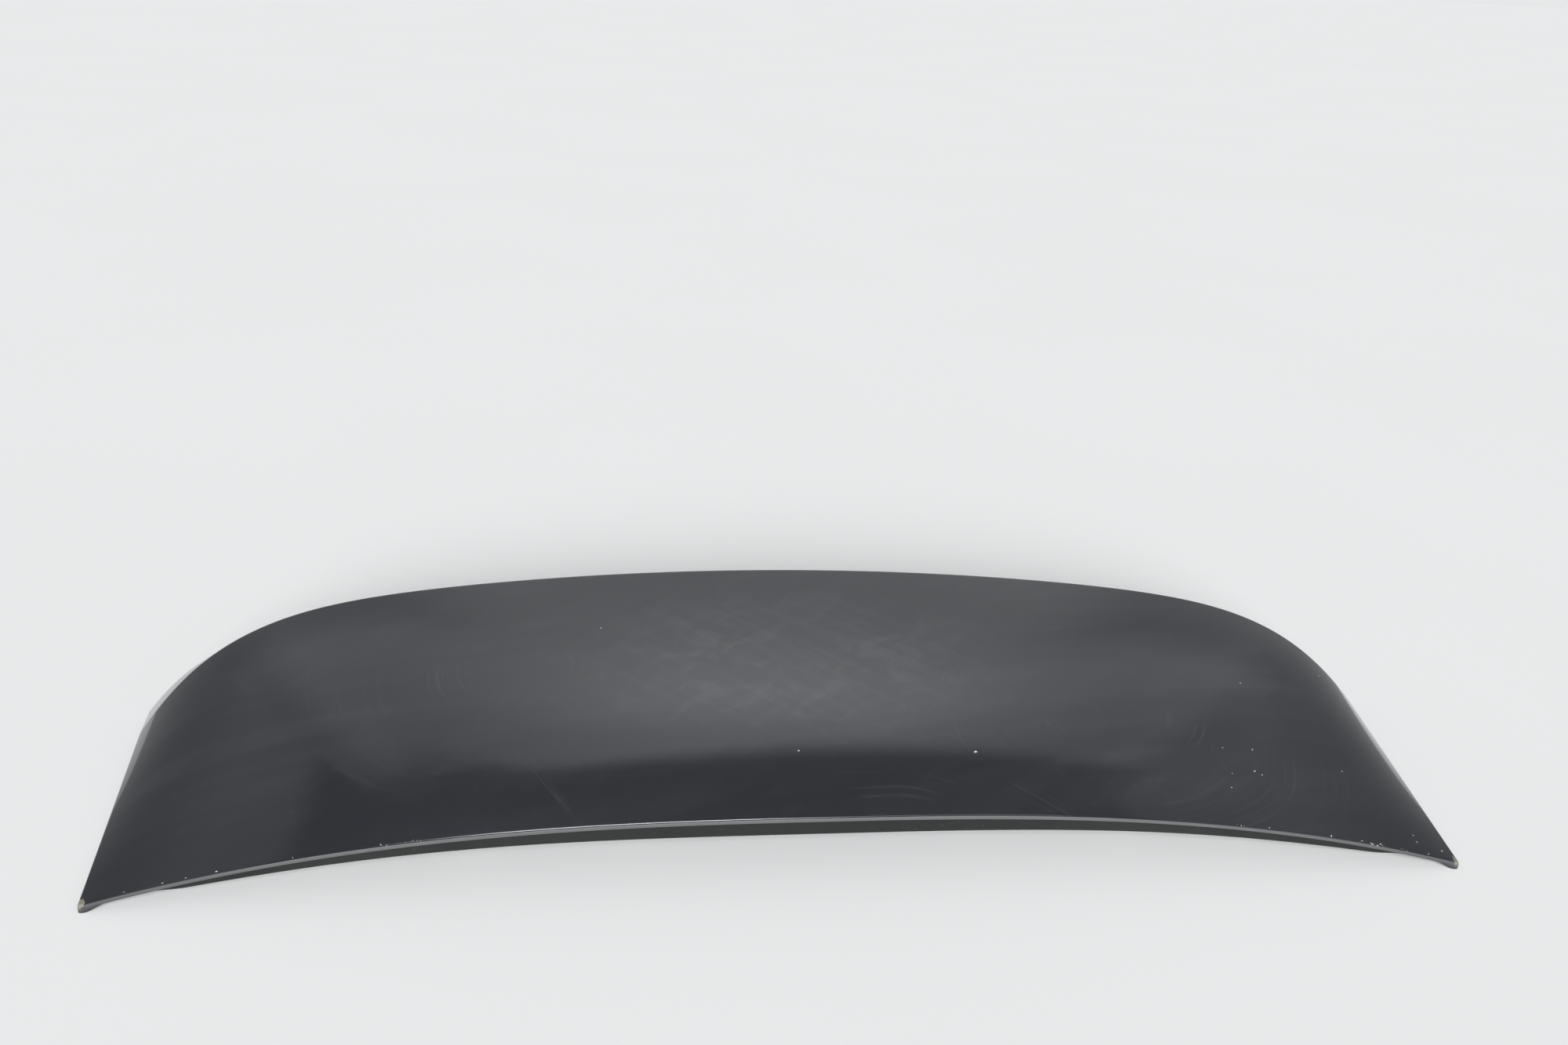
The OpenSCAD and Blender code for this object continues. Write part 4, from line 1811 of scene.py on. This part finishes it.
    def side_levels(self, top: float) -> Callable[[Graph, dict], Socket]:
        """Light of a side reflector that is dim near the floor and above its top edge.

        Args:
            top: Height of its top edge in metres.

        Returns:
            A function that adds the levels to a tree.
        """

        def levels(graph: Graph, axis: dict) -> Socket:
            """The reflector's level.

            Args:
                graph: The reflector's tree.
                axis: Its coordinates, as sockets by letter.

            Returns:
                The level's socket.
            """
            level = graph.ramp(axis["z"], 0.08, 0.36, 0.40, 0.72)
            dark = graph.ramp(axis["z"], top - 0.08, top + 0.08)
            kept = graph.times(level, graph.less(1.0, dark))
            return graph.plus(kept, graph.times(dark, self.overhead))

        return levels

    def strip_levels(self, graph: Graph, axis: dict) -> Socket:
        """Light of the strip box: strong over the left of the middle and weak towards both ends."""
        aside = graph.math("ABSOLUTE", graph.plus(axis["x"], 0.2))
        return graph.ramp(aside, 0.22, 0.52, self.strip_light, self.strip_dim)

    def cards(self) -> None:
        """Stands three upright reflectors and two soft boxes round the object."""
        left, right, near, high = self.back_left, self.back_right, self.sides_near, self.cards_high
        far_left, far_right = left[0] - self.side_splay, right[0] + self.side_splay
        (low_x, high_x), (low_y, high_y), lift = self.strip_x, self.strip_y, self.strip_height
        half, foot, head = self.front_half, self.front_foot, self.front_head
        cards = [
            Card(
                "back_reflector",
                ((*left, 0), (*right, 0), (*right, high), (*left, high)),
                self.back_levels,
            ),
            Card(
                "left_reflector",
                ((far_left, near, 0), (*left, 0), (*left, high), (far_left, near, high)),
                self.side_levels(self.left_top),
            ),
            Card(
                "right_reflector",
                ((*right, 0), (far_right, near, 0), (far_right, near, high), (*right, high)),
                self.side_levels(self.right_top),
            ),
            Card(
                "strip_box",
                ((low_x, low_y, lift), (high_x, low_y, lift), (high_x, high_y, lift), (low_x, high_y, lift)),
                self.strip_levels,
            ),
            Card(
                "front_box",
                ((-half, *foot), (half, *foot), (half, *head), (-half, *head)),
                lambda graph, axis: self.front_box,
            ),
        ]
        for card in cards:
            self.card(card)

    def front_sun(self) -> None:
        """Lights the scene broadly from the front, low enough to reach under the lip."""
        data = bpy.data.lights.new("front", "SUN")
        data.energy = self.front_light
        data.angle = math.radians(self.front_spread)
        made = linked("front", data)
        made.rotation_euler = (math.radians(90 - self.front_elevation), 0, math.radians(-6))
        made.visible_glossy = False

    def world(self) -> None:
        """Lights everything evenly, white to the camera and dimmer in reflections."""
        made = bpy.data.worlds.new("sky")
        bpy.context.scene.world = made
        made.use_nodes = True
        made.node_tree.nodes.clear()
        graph = Graph(made.node_tree)
        path = graph.node("ShaderNodeLightPath").outputs
        grey = rgba(self.overhead, self.overhead, self.overhead * 1.03)
        level = graph.mix(path["Is Glossy Ray"], rgba(self.sky, self.sky, self.sky), grey)
        level = graph.mix(path["Is Camera Ray"], level, self.seen_sky)
        light = graph.node("ShaderNodeBackground", None, Color=level, Strength=1.0)
        graph.end(light.outputs[0], "ShaderNodeOutputWorld")

    def build(self) -> None:
        """Sets up the whole studio."""
        self.camera()
        self.floor()
        self.cards()
        self.front_sun()
        self.world()
        bpy.context.scene.view_settings.view_transform = "Standard"


def main() -> None:
    """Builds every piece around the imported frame."""
    logging.basicConfig(level=logging.INFO, format="%(name)s %(message)s")
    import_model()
    shop = Workshop()
    shell = InnerShell()
    Studio().build()
    OuterSkin().build(shop)
    PaintChips().build(shop)
    shell.build(shop)
    Fixings(shell).build(shop)
    SealAndTape(shell).build(shop)


if __name__ == "__main__":
    main()
